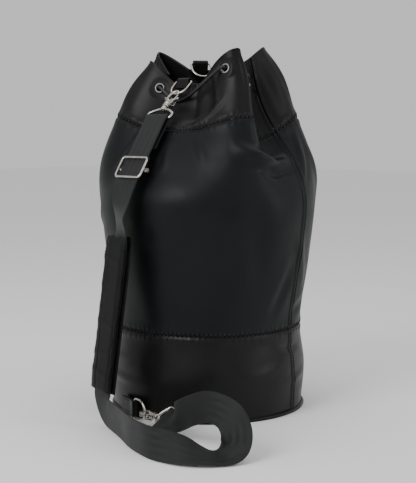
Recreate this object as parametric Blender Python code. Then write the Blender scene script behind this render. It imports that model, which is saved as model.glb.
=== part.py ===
"""A leather drawstring duffel bag with a webbing shoulder strap, piece by piece.

Units are metres, +Z is up. The origin is the centre of the underside of the base.
Angles go round the bag from the strap side (-Y), anticlockwise seen from above.
"""
import math

import bmesh
import bpy
from mathutils import Matrix, Vector

# ---------------------------------------------------------------- driving dimensions
BASE_R = 0.1335            # bag radius at the base seam
WAIST_R = 0.1300           # at the lower seam
BELLY_R = 0.1505           # at the widest height
BAND_H = 0.116             # height of the lower seam
BELLY_H = 0.290            # height of the widest place
SEAM_H = 0.400             # leather height of the collar seam
RIM_H = 0.510              # leather height of the rim
LEATHER = 0.0022           # leather wall
PANEL_GAP = 0.0003         # between pieces sewn edge to edge
SIDE_SEAM = 102.0           # angle of the side seams, and 180 further
BOARD = 0.0024             # stiffening board
WELT_R = 0.0026            # piping round the base seam

EYELET_DROP = 0.026        # eyelet centres below the rim, along the leather
EYELET_HOLE = 0.0042       # bore of an eyelet
EYELET_FLANGE = 0.0070     # flange radius
EYELET_BARREL = 0.0051     # outside of the barrel
EYELET_LIP = 0.0010        # flange thickness
FIT_GAP = 0.0003           # clearance between pieces that touch
CORD_R = 0.0021            # drawstring radius
CORD_REACH = 0.0085        # how far the cord swings in and out of each eyelet
CORD_SAG = 0.0340          # the cord below the rim where it passes under the front tab

WIRE_R = 0.0015            # D-ring wire
RING_W = 0.0280            # D-ring width, wire centre to wire centre
RING_L = 0.0250            # D-ring length, wire centre to wire centre
TAB_W = 0.0210             # leather tab width
TAB_T = 0.0020             # leather tab thickness
TAB_LEG = 0.0110           # length of a tab's legs
TAB_DROP = 0.0060          # middle of a rim tab's leg below the rim, along the leather
TAB_RISE = 0.0034          # underside of the front ring's bar above the rim
BACK_RISE = 0.0095         # the back tab stands up higher

STRAP_W = 0.0380           # webbing width
STRAP_T = 0.0018           # webbing thickness
LOOP_WIRE_R = 0.00175      # wire of a snap's loop
HOOK_T = 0.0050            # thickness of a snap's hook
GATE_T = 0.0036            # thickness of its gate
PIN_R = 0.00095            # gate pin
STUD_R = 0.0022            # swivel stud
RUN_GAP = 0.0003           # running clearance in the snap
PRESS_GAP = 0.00015        # clearance round a pin or bar that is pressed in
BARREL_R = 0.0052          # the hook's swivel barrel
BARREL_H = 0.0102          # its height above the swivel
LUG_T = 0.0013             # each of the two lugs that carry the gate pin
SLIDER_L = 0.0330          # slider length along the strap
RAIL_R = 0.0015            # slider rail
BAR_R = 0.0013             # slider bar
END_T = 0.0012             # sewn strap end
END_LEG = 0.0190           # length of its sewn legs
PAD_W = 0.0500             # shoulder pad width
PAD_T = 0.0070             # padded face thickness
BACKING_T = 0.0016         # pad backing
PAD_TOP = 0.250            # height of the pad's upper end
PAD_BOTTOM = 0.044         # height of its lower end
PAD_GAP = 0.0012           # between the strap and either side of the sleeve
FLOOR_BEND = 0.0215        # radius in which the strap turns on to the floor

# angles of the rim's ridges and valleys, with radius and height of the rim there
RIDGES = [(67, 0.092, 0.493), (126, 0.076, 0.497), (198, 0.084, 0.478), (276, 0.086, 0.494),
          (312, 0.080, 0.480)]
VALLEYS = [(0, 0.050, 0.447), (86, 0.060, 0.474), (160, 0.052, 0.462), (237, 0.045, 0.468),
           (298, 0.058, 0.462)]
# seam height in each valley, and how much of the way to the ridges its rim stays level
SEAM_DIP = {0: (0.388, 0.38), 86: (0.372, 0.0), 160: (0.386, 0.20), 237: (0.388, 0.38),
            298: (0.392, 0.0)}
KNOT_AFTER, KNOT_ANGLE, KNOT_OUT, KNOT_Z, KNOT_R = 174, 198, 0.050, 0.424, 0.0080
FRONT_ANGLE, BACK_ANGLE = 0, 237       # of the two rim tabs
EYELETS = [-31, 56, 77, 93, 148, 174, 216, 256, 290, 306]

# colours, roughness and metallic of the finishes
FINISHES = {
    "body_leather": ((0.012, 0.013, 0.016), 0.50, 0.0),
    "band_leather": ((0.020, 0.020, 0.021), 0.42, 0.0),
    "trim_leather": ((0.016, 0.016, 0.017), 0.45, 0.0),
    "board": ((0.10, 0.09, 0.08), 0.80, 0.0),
    "webbing": ((0.014, 0.014, 0.015), 0.60, 0.0),
    "pad_cloth": ((0.017, 0.017, 0.018), 0.65, 0.0),
    "nickel": ((0.62, 0.59, 0.54), 0.32, 1.0),
    "spring_steel": ((0.55, 0.55, 0.56), 0.30, 1.0),
    "cord": ((0.010, 0.010, 0.011), 0.55, 0.0),
}
Z = Vector((0.0, 0.0, 1.0))
X = Vector((1.0, 0.0, 0.0))


# ---------------------------------------------------------------- helpers
def clear_scene():
    for item in list(bpy.data.objects):
        bpy.data.objects.remove(item, do_unlink=True)


def finish(name):
    mat = bpy.data.materials.get(name)
    if mat is None:
        mat = bpy.data.materials.new(name)
        mat.use_nodes = True
        colour, rough, metal = FINISHES[name]
        shader = mat.node_tree.nodes["Principled BSDF"]
        shader.inputs["Base Color"].default_value = (*colour, 1.0)
        shader.inputs["Roughness"].default_value = rough
        shader.inputs["Metallic"].default_value = metal
    return mat


def add(name, bm, mat, origin=None):
    """Turn a bmesh into a named object whose origin is moved to origin."""
    bmesh.ops.recalc_face_normals(bm, faces=bm.faces)
    mesh = bpy.data.meshes.new(name)
    if origin is not None:
        bmesh.ops.translate(bm, verts=bm.verts, vec=-Vector(origin))
    bm.to_mesh(mesh)
    bm.free()
    mesh.materials.append(finish(mat))
    mesh.shade_smooth()
    mesh.set_sharp_from_angle(angle=math.radians(35))
    item = bpy.data.objects.new(name, mesh)
    bpy.context.collection.objects.link(item)
    if origin is not None:
        item.location = origin
    return item


def cutter(name, bm):
    item = add(name, bm, "nickel")
    item.hide_render = True
    item.display_type = "WIRE"
    return item


def boolean(item, other, operation):
    mod = item.modifiers.new(operation.lower(), "BOOLEAN")
    mod.operation = operation
    mod.solver = "EXACT"
    mod.object = other


def mix(a, b, t):
    return a + (b - a) * t


def through(keys, x):
    """Smooth curve through keys, a list of (x, value), by Catmull-Rom."""
    if x <= keys[0][0]:
        return keys[0][1]
    if x >= keys[-1][0]:
        return keys[-1][1]
    i = max(k for k in range(len(keys) - 1) if keys[k][0] <= x)
    x0, p0 = keys[i]
    x1, p1 = keys[i + 1]
    before = keys[i - 1] if i > 0 else None
    after = keys[i + 2] if i + 2 < len(keys) else None
    step = x1 - x0
    m0 = (p1 - p0) if before is None else (p1 - before[1]) * (step / (x1 - before[0]))
    m1 = (p1 - p0) if after is None else (after[1] - p0) * (step / (after[0] - x0))
    t = (x - x0) / step
    t2, t3 = t * t, t * t * t
    return (p0 * (2 * t3 - 3 * t2 + 1) + m0 * (t3 - 2 * t2 + t)
            + p1 * (3 * t2 - 2 * t3) + m1 * (t3 - t2))


def grid_solid(bm, front, back, closed=False):
    """Join two equal grids of points into one closed wall."""
    f = [[bm.verts.new(p) for p in row] for row in front]
    b = [[bm.verts.new(p) for p in row] for row in back]
    rows, cols = len(f), len(f[0])
    last = cols if closed else cols - 1
    for i in range(rows - 1):
        for j in range(last):
            k = (j + 1) % cols
            bm.faces.new((f[i][j], f[i][k], f[i + 1][k], f[i + 1][j]))
            bm.faces.new((b[i][j], b[i + 1][j], b[i + 1][k], b[i][k]))
    for j in range(last):
        k = (j + 1) % cols
        bm.faces.new((f[0][j], b[0][j], b[0][k], f[0][k]))
        bm.faces.new((f[-1][j], f[-1][k], b[-1][k], b[-1][j]))
    if not closed:
        for i in range(rows - 1):
            bm.faces.new((f[i][0], f[i + 1][0], b[i + 1][0], b[i][0]))
            bm.faces.new((f[i][-1], b[i][-1], b[i + 1][-1], f[i + 1][-1]))


def tube(points, radius, sides=8, closed=False):
    """A round bar along points."""
    bm = bmesh.new()
    n = len(points)
    rings = []
    side = None
    for i, p in enumerate(points):
        if closed:
            ahead = (points[(i + 1) % n] - points[i - 1]).normalized()
        else:
            ahead = (points[min(i + 1, n - 1)] - points[max(i - 1, 0)]).normalized()
        if side is None:
            side = ahead.orthogonal().normalized()
        side = (side - ahead * side.dot(ahead)).normalized()
        up = ahead.cross(side)
        rings.append([bm.verts.new(p + (side * math.cos(a) + up * math.sin(a)) * radius)
                      for a in (2 * math.pi * k / sides for k in range(sides))])
    spans = n if closed else n - 1
    for i in range(spans):
        a, b = rings[i], rings[(i + 1) % n]
        shift = 0
        if closed and i == n - 1:
            shift = min(range(sides), key=lambda s: (a[0].co - b[s].co).length)
        for k in range(sides):
            bm.faces.new((a[k], a[(k + 1) % sides],
                          b[(k + 1 + shift) % sides], b[(k + shift) % sides]))
    if not closed:
        bm.faces.new(rings[0])
        bm.faces.new(rings[-1])
    return bm


def rod(a, b, radius, sides=16):
    return tube([Vector(a), Vector(b)], radius, sides)


def plate(outline, frame, thickness, bevel=0.0):
    """A flat outline of (x, z) points in frame, centred on its thickness."""
    bm = bmesh.new()
    half = thickness / 2
    low = [bm.verts.new(frame @ Vector((x, -half, z))) for x, z in outline]
    face = bm.faces.new(low)
    out = bmesh.ops.extrude_face_region(bm, geom=[face])
    moved = [v for v in out["geom"] if isinstance(v, bmesh.types.BMVert)]
    shift = frame.to_3x3() @ Vector((0, thickness, 0))
    bmesh.ops.translate(bm, verts=moved, vec=shift)
    if bevel:
        bmesh.ops.recalc_face_normals(bm, faces=bm.faces)
        big = [f for f in bm.faces if len(f.verts) > 4]
        rims = list({e for f in big for e in f.edges})
        bmesh.ops.bevel(bm, geom=rims, offset=bevel, segments=1, profile=0.5,
                        affect="EDGES", material=-1)
    bmesh.ops.triangulate(bm, faces=[f for f in bm.faces if len(f.verts) > 4])
    return bm


def ribbon(stations, thickness):
    """A flat strap through stations of (centre, half-width vector, normal)."""
    bm = bmesh.new()
    front = [[c + h + n * thickness / 2, c - h + n * thickness / 2] for c, h, n in stations]
    back = [[c + h - n * thickness / 2, c - h - n * thickness / 2] for c, h, n in stations]
    grid_solid(bm, front, back)
    return bm


def frame_from(origin, x_axis, z_axis):
    z_axis = z_axis.normalized()
    x_axis = (x_axis - z_axis * x_axis.dot(z_axis)).normalized()
    y_axis = z_axis.cross(x_axis)
    m = Matrix((x_axis, y_axis, z_axis)).transposed().to_4x4()
    m.translation = origin
    return m


# ---------------------------------------------------------------- the bag's skin
def lobe(angle):
    """Seam height, valley and ridge of the rim, and how far the leather is to the ridge."""
    marks = sorted([(a % 360, "r", r, z) for a, r, z in RIDGES]
                   + [(a % 360, "v", r, z) for a, r, z in VALLEYS])
    angle %= 360
    for i, mark in enumerate(marks):
        nxt = marks[(i + 1) % len(marks)]
        end = nxt[0] if nxt[0] > mark[0] else nxt[0] + 360
        if mark[0] <= angle < end:
            t = (angle - mark[0]) / (end - mark[0])
            if mark[1] == "r":
                mark, nxt, t = nxt, mark, 1 - t
            dip, level = SEAM_DIP[mark[0]]
            t = max(0.0, (t - level) / (1 - level))
            return dip, mark, nxt, 0.5 - 0.5 * math.cos(math.pi * t)
    return lobe(angle + 1e-6)


def bare_skin(angle, h):
    """Outer surface of the leather at an angle and a leather height."""
    dip, valley, ridge, w = lobe(angle)
    seam_r = mix(BELLY_R - 0.056, BELLY_R - 0.0265, w)
    seam_z = mix(dip, SEAM_H + 0.004, w)
    rim_r = mix(valley[2], ridge[2], w)
    rim_z = mix(valley[3], ridge[3], w)
    shoulder_r = mix(BELLY_R - 0.0195, BELLY_R - 0.003, w)
    mid = (SEAM_H + RIM_H) / 2
    keys_r = [(0.0, BASE_R), (BAND_H / 2, BASE_R + 0.003), (BAND_H, WAIST_R),
              (mix(BAND_H, BELLY_H, 0.5), mix(WAIST_R, BELLY_R, 0.5)), (BELLY_H, BELLY_R),
              (BELLY_H + 0.055, shoulder_r), (SEAM_H, seam_r),
              (mid, mix(seam_r, rim_r, mix(0.72, 0.45, w))), (RIM_H, rim_r)]
    keys_z = [(0.0, 0.0), (BAND_H, BAND_H), (BELLY_H, BELLY_H),
              (BELLY_H + 0.055, BELLY_H + mix(0.045, 0.052, w)), (SEAM_H, seam_z),
              (mid, mix(seam_z, rim_z, mix(0.40, 0.55, w))), (RIM_H, rim_z)]
    r, z = through(keys_r, h), through(keys_z, h)
    a = math.radians(angle)
    return Vector((r * math.sin(a), -r * math.cos(a), z))


def spot(angle, h, surface=bare_skin):
    """Point, outward normal and upward tangent of a surface."""
    p = surface(angle, h)
    up = (surface(angle, min(h + 0.002, RIM_H)) - surface(angle, h - 0.002)).normalized()
    along = (surface(angle + 0.5, h) - surface(angle - 0.5, h)).normalized()
    return p, along.cross(up).normalized(), up


FLATS = [(*spot(a, RIM_H - TAB_DROP)[:2], 0.013, 0.022) for a in (FRONT_ANGLE, BACK_ANGLE)]
FLATS += [(*spot(a, RIM_H - EYELET_DROP)[:2], 0.0095, 0.017) for a in EYELETS]


def skin(angle, h):
    """The leather surface, pressed flat under each eyelet and rim tab."""
    p = bare_skin(angle, h)
    for centre, normal, inner, outer in FLATS:
        d = (p - centre).length
        if d < outer:
            t = min(1.0, (outer - d) / (outer - inner))
            t = t * t * (3 - 2 * t)
            p = p - normal * (p - centre).dot(normal) * t
    return p


def skin_normal(angle, h):
    return spot(angle, h, skin)[1]


def wall(name, mat, start, end, low, high, cols, rows):
    """One leather panel between two angles and two leather heights."""
    edge = math.degrees(PANEL_GAP / 2 / WAIST_R)
    bm = bmesh.new()
    front, back = [], []
    for i in range(rows + 1):
        h = mix(low, high, i / rows)
        row_f, row_b = [], []
        for j in range(cols + 1):
            a = mix(start + edge, end - edge, j / cols)
            p = skin(a, h)
            row_f.append(p)
            row_b.append(p - skin_normal(a, h) * LEATHER)
        front.append(row_f)
        back.append(row_b)
    grid_solid(bm, front, back)
    return add(name, bm, mat)


def make_bag():
    half = PANEL_GAP / 2
    a, b = SIDE_SEAM - 180, SIDE_SEAM
    low = 2 * WELT_R + PANEL_GAP
    wall("lower_band_front", "band_leather", a, b, low, BAND_H - half, 28, 4)
    wall("lower_band_rear", "band_leather", b, a + 360, low, BAND_H - half, 28, 4)
    wall("body_front", "body_leather", a, b, BAND_H + half, SEAM_H - half, 30, 9)
    wall("body_rear", "body_leather", b, a + 360, BAND_H + half, SEAM_H - half, 30, 9)
    collars = [wall("collar_front", "band_leather", a, b, SEAM_H + half, RIM_H, 42, 8),
               wall("collar_rear", "band_leather", b, a + 360, SEAM_H + half, RIM_H, 42, 8)]
    disc_r = BASE_R - WELT_R - PANEL_GAP
    for name, mat, r, z0, t in [("base_panel", "band_leather", disc_r, 0.0, LEATHER),
                                ("base_board", "board", disc_r - 0.004,
                                 LEATHER + PANEL_GAP, BOARD)]:
        bm = bmesh.new()
        bmesh.ops.create_cone(bm, cap_ends=True, segments=48, radius1=r, radius2=r, depth=t)
        bmesh.ops.translate(bm, verts=bm.verts, vec=(0, 0, z0 + t / 2))
        add(name, bm, mat)
    circle = [Vector((BASE_R * math.sin(k), -BASE_R * math.cos(k), WELT_R + PANEL_GAP / 2))
              for k in (2 * math.pi * i / 48 for i in range(48))]
    add("base_welt", tube(circle, WELT_R, 6, closed=True), "trim_leather")
    return collars


# ---------------------------------------------------------------- eyelets and drawstring
def eyelet_place(angle):
    p, n, up = spot(angle, RIM_H - EYELET_DROP)
    return p - n * LEATHER / 2, n, up


def make_eyelets(collars):
    reach = LEATHER / 2 + 0.0006
    profile = [(EYELET_HOLE, -reach - EYELET_LIP), (EYELET_FLANGE, -reach - EYELET_LIP * 0.4),
               (EYELET_FLANGE, -reach), (EYELET_BARREL, -reach), (EYELET_BARREL, reach),
               (EYELET_FLANGE, reach), (EYELET_FLANGE, reach + EYELET_LIP * 0.4),
               (EYELET_HOLE, reach + EYELET_LIP)]
    sides = 16
    cuts = bmesh.new()
    for k, angle in enumerate(EYELETS):
        centre, n, up = eyelet_place(angle)
        frame = frame_from(centre, up, n)
        bm = bmesh.new()
        rings = [[bm.verts.new(frame @ Vector((r * math.cos(t), r * math.sin(t), z)))
                  for t in (2 * math.pi * s / sides for s in range(sides))]
                 for r, z in profile]
        for i in range(len(rings)):
            a, b = rings[i], rings[(i + 1) % len(rings)]
            for s in range(sides):
                bm.faces.new((a[s], a[(s + 1) % sides], b[(s + 1) % sides], b[s]))
        add("eyelet_%d" % (k + 1), bm, "nickel")
        bmesh.ops.create_cone(cuts, cap_ends=True, segments=sides,
                              radius1=EYELET_BARREL + FIT_GAP, radius2=EYELET_BARREL + FIT_GAP,
                              depth=0.014, matrix=frame)
    hole_cutter = cutter("eyelet_holes_cutter", cuts)
    for collar in collars:
        boolean(collar, hole_cutter, "DIFFERENCE")


def cord_route():
    """In and out of the eyelets: outside the valleys, inside the ridges."""
    keys = []
    for k, angle in enumerate(EYELETS):
        centre, n, up = eyelet_place(angle)
        side = 1 if k % 2 else -1            # odd eyelets pass inwards, even ones outwards
        if angle == EYELETS[1]:              # below the front tab the cord lies on the leather
            low, out, _ = spot(FRONT_ANGLE, RIM_H - CORD_SAG)
            keys.append(low + out * (CORD_R + 0.0005))
        keys += [centre + n * CORD_REACH * side, centre, centre - n * CORD_REACH * side]
    return keys


def smooth_route(keys, step):
    """Evenly spaced points on a smooth curve through keys."""
    length = 0.0
    table = [(0.0, keys[0])]
    for a, b in zip(keys, keys[1:]):
        length += (b - a).length
        table.append((length, b))
    count = max(2, round(length / step))
    return [through(table, length * i / count) for i in range(count + 1)]


def make_drawstring():
    """The cord's keys from the knot, round the rim and back, and the knot's centre."""
    keys = cord_route()
    start = EYELETS.index(KNOT_AFTER) * 3 + 4    # the knot lies inside, past this eyelet
    keys = keys[start:] + keys[:start]
    a = math.radians(KNOT_ANGLE)
    knot = Vector((KNOT_OUT * math.sin(a), -KNOT_OUT * math.cos(a), KNOT_Z))
    first = knot + (keys[0] - knot).normalized() * (KNOT_R + 0.0012)
    last = knot + (keys[-1] - knot).normalized() * (KNOT_R + 0.0012)
    return [first] + keys + [last], knot


# ---------------------------------------------------------------- D-rings and tabs
def ring_outline():
    """D shape in the ring's own plane: bar along x at z = 0, bow at z = -RING_L."""
    w, corner = RING_W / 2, 0.0035
    pts = [(-w + corner, 0), (0, 0), (w - corner, 0), (w - corner * 0.3, -corner * 0.3),
           (w, -corner), (w, -(RING_L - w))]
    steps = 8
    for i in range(1, steps):
        t = math.pi * i / steps
        pts.append((w * math.cos(t), -(RING_L - w) - w * math.sin(t)))
    pts += [(-w, -(RING_L - w)), (-w, -corner), (-w + corner * 0.3, -corner * 0.3)]
    return pts


def make_ring(name, frame):
    pts = [frame @ Vector((x, 0, z)) for x, z in ring_outline()]
    add(name, tube(pts, WIRE_R, 8, closed=True), "nickel", origin=frame.translation)


def rim_tab(name, angle, rise):
    """A leather tab that saddles the rim and holds a ring's bar. Returns the bar's middle."""
    _, n, up = spot(angle, RIM_H - TAB_DROP)
    rim = skin(angle, RIM_H)
    inner_r = WIRE_R + FIT_GAP * 3
    bar = rim - n * LEATHER / 2 + up * (WIRE_R + rise)
    mid = inner_r + TAB_T / 2
    leg = TAB_LEG + rise - TAB_RISE
    path = [(mid, -leg), (mid, 0)]
    path += [(mid * math.cos(math.pi * i / 8), mid * math.sin(math.pi * i / 8))
             for i in range(1, 8)]
    path += [(-mid, 0), (-mid, -leg)]
    along = up.cross(n).normalized() * TAB_W / 2
    stations = []
    for i, (a, b) in enumerate(path):
        angle_here = math.pi * min(max(i - 1, 0), 8) / 8
        out = n * math.cos(angle_here) + up * math.sin(angle_here)
        stations.append((bar + n * a + up * b, along, out))
    add(name, ribbon(stations, TAB_T), "trim_leather")
    return bar


# ---------------------------------------------------------------- the swivel snaps
HOOK_TOP = 0.0280          # underside of the hook's crown above the swivel
WIRE_SEAT = HOOK_TOP - WIRE_R - 0.0012   # where the ring's wire lies in the hook
LOOP_BAR = -0.0205         # the loop's strap bar below the swivel
PIVOT = (0.0068, 0.0100)   # gate pin in the hook's plane


def arc(cx, cz, rx, rz, start, end, steps):
    return [(cx + rx * math.cos(math.radians(mix(start, end, i / steps))),
             cz + rz * math.sin(math.radians(mix(start, end, i / steps))))
            for i in range(steps + 1)]


def make_snap(prefix, hook_frame, loop_frame):
    """Hook, gate, pin and spring in hook_frame; loop and stud in loop_frame."""
    swivel = hook_frame.translation
    eye_h = 0.0085
    outer = arc(0, HOOK_TOP - 0.009, 0.0090, 0.0130, 38, 262, 14)
    inner = arc(0, HOOK_TOP - eye_h, 0.0050, eye_h, 262, 38, 12)
    hook = add(prefix + "_hook", plate(outer + inner, hook_frame, HOOK_T, 0.0009), "nickel",
               origin=swivel)

    def part(name, bm):
        return cutter(prefix + name, bm)

    def at(x, y, z):
        return hook_frame @ Vector((x, y, z))

    def block(x0, x1, y0, y1, z0, z1):
        bm = bmesh.new()
        bmesh.ops.create_cube(bm, size=1.0)
        size = Matrix.Diagonal((x1 - x0, y1 - y0, z1 - z0, 1.0))
        move = Matrix.Translation(((x0 + x1) / 2, (y0 + y1) / 2, (z0 + z1) / 2))
        bmesh.ops.transform(bm, matrix=hook_frame @ move @ size, verts=bm.verts)
        return bm

    slot = GATE_T / 2 + RUN_GAP
    lug = slot + LUG_T
    px, pz = PIVOT
    boolean(hook, part("_barrel", rod(at(0, 0, -0.0010), at(0, 0, BARREL_H), BARREL_R, 20)), "UNION")
    boolean(hook, part("_lugs", block(0.0020, px + 0.0026, -lug, lug, 0.0045, pz + 0.0024)),
            "UNION")
    boolean(hook, part("_slot", block(0.0030, px + 0.01, -slot, slot, 0.0055, pz + 0.009)),
            "DIFFERENCE")
    boolean(hook, part("_bore", rod(at(0, 0, -0.0020), at(0, 0, 0.0110),
                                    STUD_R + RUN_GAP, 16)), "DIFFERENCE")
    boolean(hook, part("_seat", rod(at(0, 0, 0.0073), at(0, 0, 0.0150), 0.0037, 16)),
            "DIFFERENCE")
    boolean(hook, part("_pin_hole", rod(at(px, -0.006, pz), at(px, 0.006, pz),
                                        PIN_R + PRESS_GAP, 12)), "DIFFERENCE")
    add(prefix + "_gate_pin", rod(at(px, -lug, pz), at(px, lug, pz), PIN_R, 12), "nickel")

    eye = arc(px, pz, 0.0025, 0.0025, 180, 350, 7)
    bar = [(px + 0.0027, pz + 0.0035), (px + 0.0060, pz + 0.0040), (px + 0.0064, pz + 0.0065),
           (px + 0.0024, pz + 0.0075), (px + 0.0011, pz + 0.0132), (px - 0.0018, pz + 0.0137),
           (px - 0.0010, pz + 0.0070), (px - 0.0022, pz + 0.0020)]
    gate = add(prefix + "_gate", plate(eye + bar, hook_frame, GATE_T, 0.0006), "nickel",
               origin=at(px, 0, pz))
    boolean(gate, bpy.data.objects[prefix + "_pin_hole"], "DIFFERENCE")
    leaf = [(0.0032, 0.0059), (px - 0.0015, 0.0059), (px + 0.0015, 0.0064),
            (px + 0.0014, 0.0068), (px - 0.0016, 0.0063), (0.0032, 0.0063)]
    add(prefix + "_gate_spring", plate(leaf, hook_frame, 0.0024), "spring_steel")

    half = STRAP_W / 2 + 0.0025
    outline = [(-half + 0.002, LOOP_BAR), (0, LOOP_BAR), (half - 0.002, LOOP_BAR),
               (half - 0.0004, LOOP_BAR + 0.0006), (half, LOOP_BAR + 0.0022),
               (half, -0.0135), (half - 0.0012, -0.0118), (0.008, -0.0058), (0.004, -0.0048),
               (0, -0.0046), (-0.004, -0.0048), (-0.008, -0.0058),
               (-half + 0.0012, -0.0118), (-half, -0.0135), (-half, LOOP_BAR + 0.0022),
               (-half + 0.0004, LOOP_BAR + 0.0006)]
    pts = [loop_frame @ Vector((x, 0, z)) for x, z in outline]
    loop = add(prefix + "_loop", tube(pts, LOOP_WIRE_R, 8, closed=True), "nickel",
               origin=swivel)
    for name, r, z0, z1 in [("_boss", 0.0045, -0.0075, -0.0013),
                            ("_stud", STUD_R, -0.0040, 0.0082),
                            ("_stud_head", 0.0033, 0.0076, 0.0093)]:
        piece = rod(loop_frame @ Vector((0, 0, z0)), loop_frame @ Vector((0, 0, z1)), r, 16)
        boolean(loop, cutter(prefix + name, piece), "UNION")


# ---------------------------------------------------------------- layout of the strap
def chain_frames(bar, run, ring_axis, gate_side):
    """Frames of a ring, hook and loop that lie in line along run from a ring's bar."""
    swivel = bar + run * (RING_L + WIRE_SEAT)
    ring = frame_from(bar, ring_axis, -run)
    hook = frame_from(swivel, gate_side, -run)
    return ring, hook, swivel


def route_stations(keys, step):
    """Stations from keys of (centre, width direction) on a smooth curve, closer at folds."""
    table_c, table_w, length = [(0.0, keys[0][0])], [(0.0, keys[0][1].normalized())], 0.0
    places = [0.0]
    for (a, _), (b, wb) in zip(keys, keys[1:]):
        span = (b - a).length
        parts = max(1, round(span / step))
        places += [length + span * (k + 1) / parts for k in range(parts)]
        length += span
        table_c.append((length, b))
        table_w.append((length, wb.normalized()))
    centres = [through(table_c, x) for x in places]
    stations = []
    for i, (x, c) in enumerate(zip(places, centres)):
        ahead = centres[min(i + 1, len(centres) - 1)] - centres[max(i - 1, 0)]
        ahead.normalize()
        w = through(table_w, x)
        w = (w - ahead * w.dot(ahead)).normalized()
        stations.append((c, w * STRAP_W / 2, ahead.cross(w).normalized()))
    return stations


FOLD_R = LOOP_WIRE_R + 0.0004 + STRAP_T / 2              # the strap's folds round a loop
CHAIN_DOWN = Vector((0, -0.731, -0.682)).normalized()     # from the front ring to the slider
BACK_ALONG = Vector((math.cos(math.radians(BACK_ANGLE)), math.sin(math.radians(BACK_ANGLE)), 0))
BACK_HANG = (Z.cross(BACK_ALONG) * 0.67 - Z * 0.743)       # the back ring hangs inside the mouth
SLIDER_AT = Vector((0, -0.1475, 0.337))
PAD_HEAD = Vector((0.002, -BELLY_R - 0.0210, PAD_TOP))
PAD_FOOT = Vector((-0.014, -BELLY_R - 0.0410, PAD_BOTTOM))
PAD_TURN = math.radians(-12)                              # the pad faces a little to -X
BASE_RUN = Vector((0.970, -0.240, 0.0)).normalized()      # from the base ring along the floor
BASE_BAR = Vector((0.004, -0.1500, 0.0168))
TAB_FOOT = Vector((-0.034, -0.1352, 0.0168))
# the strap over the floor: on its edge, then flat, then curling up and back; centre and width
FLOOR_KEYS = [((0.052, -0.2235, 0.0196), (0.0, 0.0, 1.0)), ((0.098, -0.2480, 0.0196), (-0.05, 0.08, 0.99)),
              ((0.144, -0.2620, 0.0194), (-0.17, 0.19, 0.97)), ((0.180, -0.2545, 0.0166), (-0.43, 0.47, 0.77)),
              ((0.206, -0.2380, 0.0098), (-0.71, 0.64, 0.30)), ((0.220, -0.2200, 0.0070), (-0.96, 0.26, 0.16)),
              ((0.228, -0.2070, 0.0175), (-0.93, -0.36, 0.05)), ((0.226, -0.2010, 0.0350), (-0.80, -0.59, -0.10)),
              ((0.211, -0.1980, 0.0510), (-0.56, -0.50, -0.66)), ((0.178, -0.1950, 0.0560), (-0.19, -0.17, -0.97)),
              ((0.144, -0.1900, 0.0450), (0.0, 0.0, -1.0)), ((0.112, -0.1810, 0.0300), (0.0, 0.0, -1.0))]
LEAN = math.radians(35)                                   # how far the strap's end leans


def layers(loop_bar):
    """Direction down the strap and outward normal of its doubled stretch."""
    reach = SLIDER_AT - loop_bar
    straight = reach.normalized()
    out = X.cross(straight).normalized()
    if out.y > 0:
        out = -out
    tilt = math.asin(FOLD_R / reach.length)      # the front layer is tangent to the fold
    down = straight * math.cos(tilt) - out * math.sin(tilt)
    normal = out * math.cos(tilt) + straight * math.sin(tilt)
    return down, normal


def upper_strap_keys(bar):
    """Rear layer, round the loop, front layer through the slider, down into the pad."""
    down, n = layers(bar)
    fold = FOLD_R
    keys = [(bar - n * fold + down * 0.047, X), (bar - n * fold + down * 0.024, X),
            (bar - n * fold + down * 0.004, X)]
    for i in range(1, 8):
        t = math.pi * i / 8
        keys.append((bar - n * fold * math.cos(t) - down * fold * math.sin(t), X))
    start = bar + n * fold
    keys += [(start + down * d, X) for d in (0.004, 0.024, 0.050, 0.0785, 0.098, 0.106)]
    turn = Vector((math.cos(PAD_TURN), math.sin(PAD_TURN), 0))
    twist = Vector((math.cos(math.radians(-36)), math.sin(math.radians(-36)), 0))
    keys += [(Vector((0.0, -BELLY_R - 0.0200, 0.292)), Vector((1, -0.05, 0))),
             (Vector((0.0, -BELLY_R - 0.0210, 0.271)), twist),
             (PAD_HEAD + Vector((0, 0, 0.005)), turn),
             (PAD_HEAD.lerp(PAD_FOOT, 0.12), turn), (PAD_HEAD.lerp(PAD_FOOT, 0.30), turn),
             (PAD_HEAD.lerp(PAD_FOOT, 0.4985), turn)]
    return keys


def lower_strap_keys(loop_bar, loop_width):
    """Out of the pad, round on its edge over the floor, and back to the base snap."""
    turn = Vector((math.cos(PAD_TURN), math.sin(PAD_TURN), 0))
    half = STRAP_W / 2 + 0.0006
    floor_run = Vector((0.93, -0.37, 0)).normalized()
    foot = PAD_FOOT + Vector((0, -0.0004, half + FLOOR_BEND - PAD_FOOT.z))
    keys = [(PAD_HEAD.lerp(PAD_FOOT, 0.5015), turn), (PAD_HEAD.lerp(PAD_FOOT, 0.70), turn),
            (PAD_HEAD.lerp(PAD_FOOT, 0.86), turn)]
    for i in range(0, 5):
        t = math.pi / 2 * i / 4
        go = turn.lerp(floor_run, i / 4).normalized()
        keys.append((foot + go * FLOOR_BEND * (1 - math.cos(t)) - Z * FLOOR_BEND * math.sin(t),
                     go * math.cos(t) + Z * math.sin(t)))
    for place, wide in FLOOR_KEYS:
        keys.append((Vector(place), Vector(wide)))
    back = -BASE_RUN
    flat = -loop_width.normalized()
    side = back.cross(flat).normalized()
    if side.z < 0:
        side = -side
    fold = FOLD_R
    near = loop_bar + side * fold
    keys += [(near - back * 0.016, flat), (near - back * 0.003, flat)]
    for i in range(1, 8):
        t = math.pi * i / 8
        keys.append((loop_bar + side * fold * math.cos(t) + back * fold * math.sin(t), flat))
    under = loop_bar - side * fold
    keys += [(under - back * 0.003, flat), (under - back * 0.014, flat)]
    return keys


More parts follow.
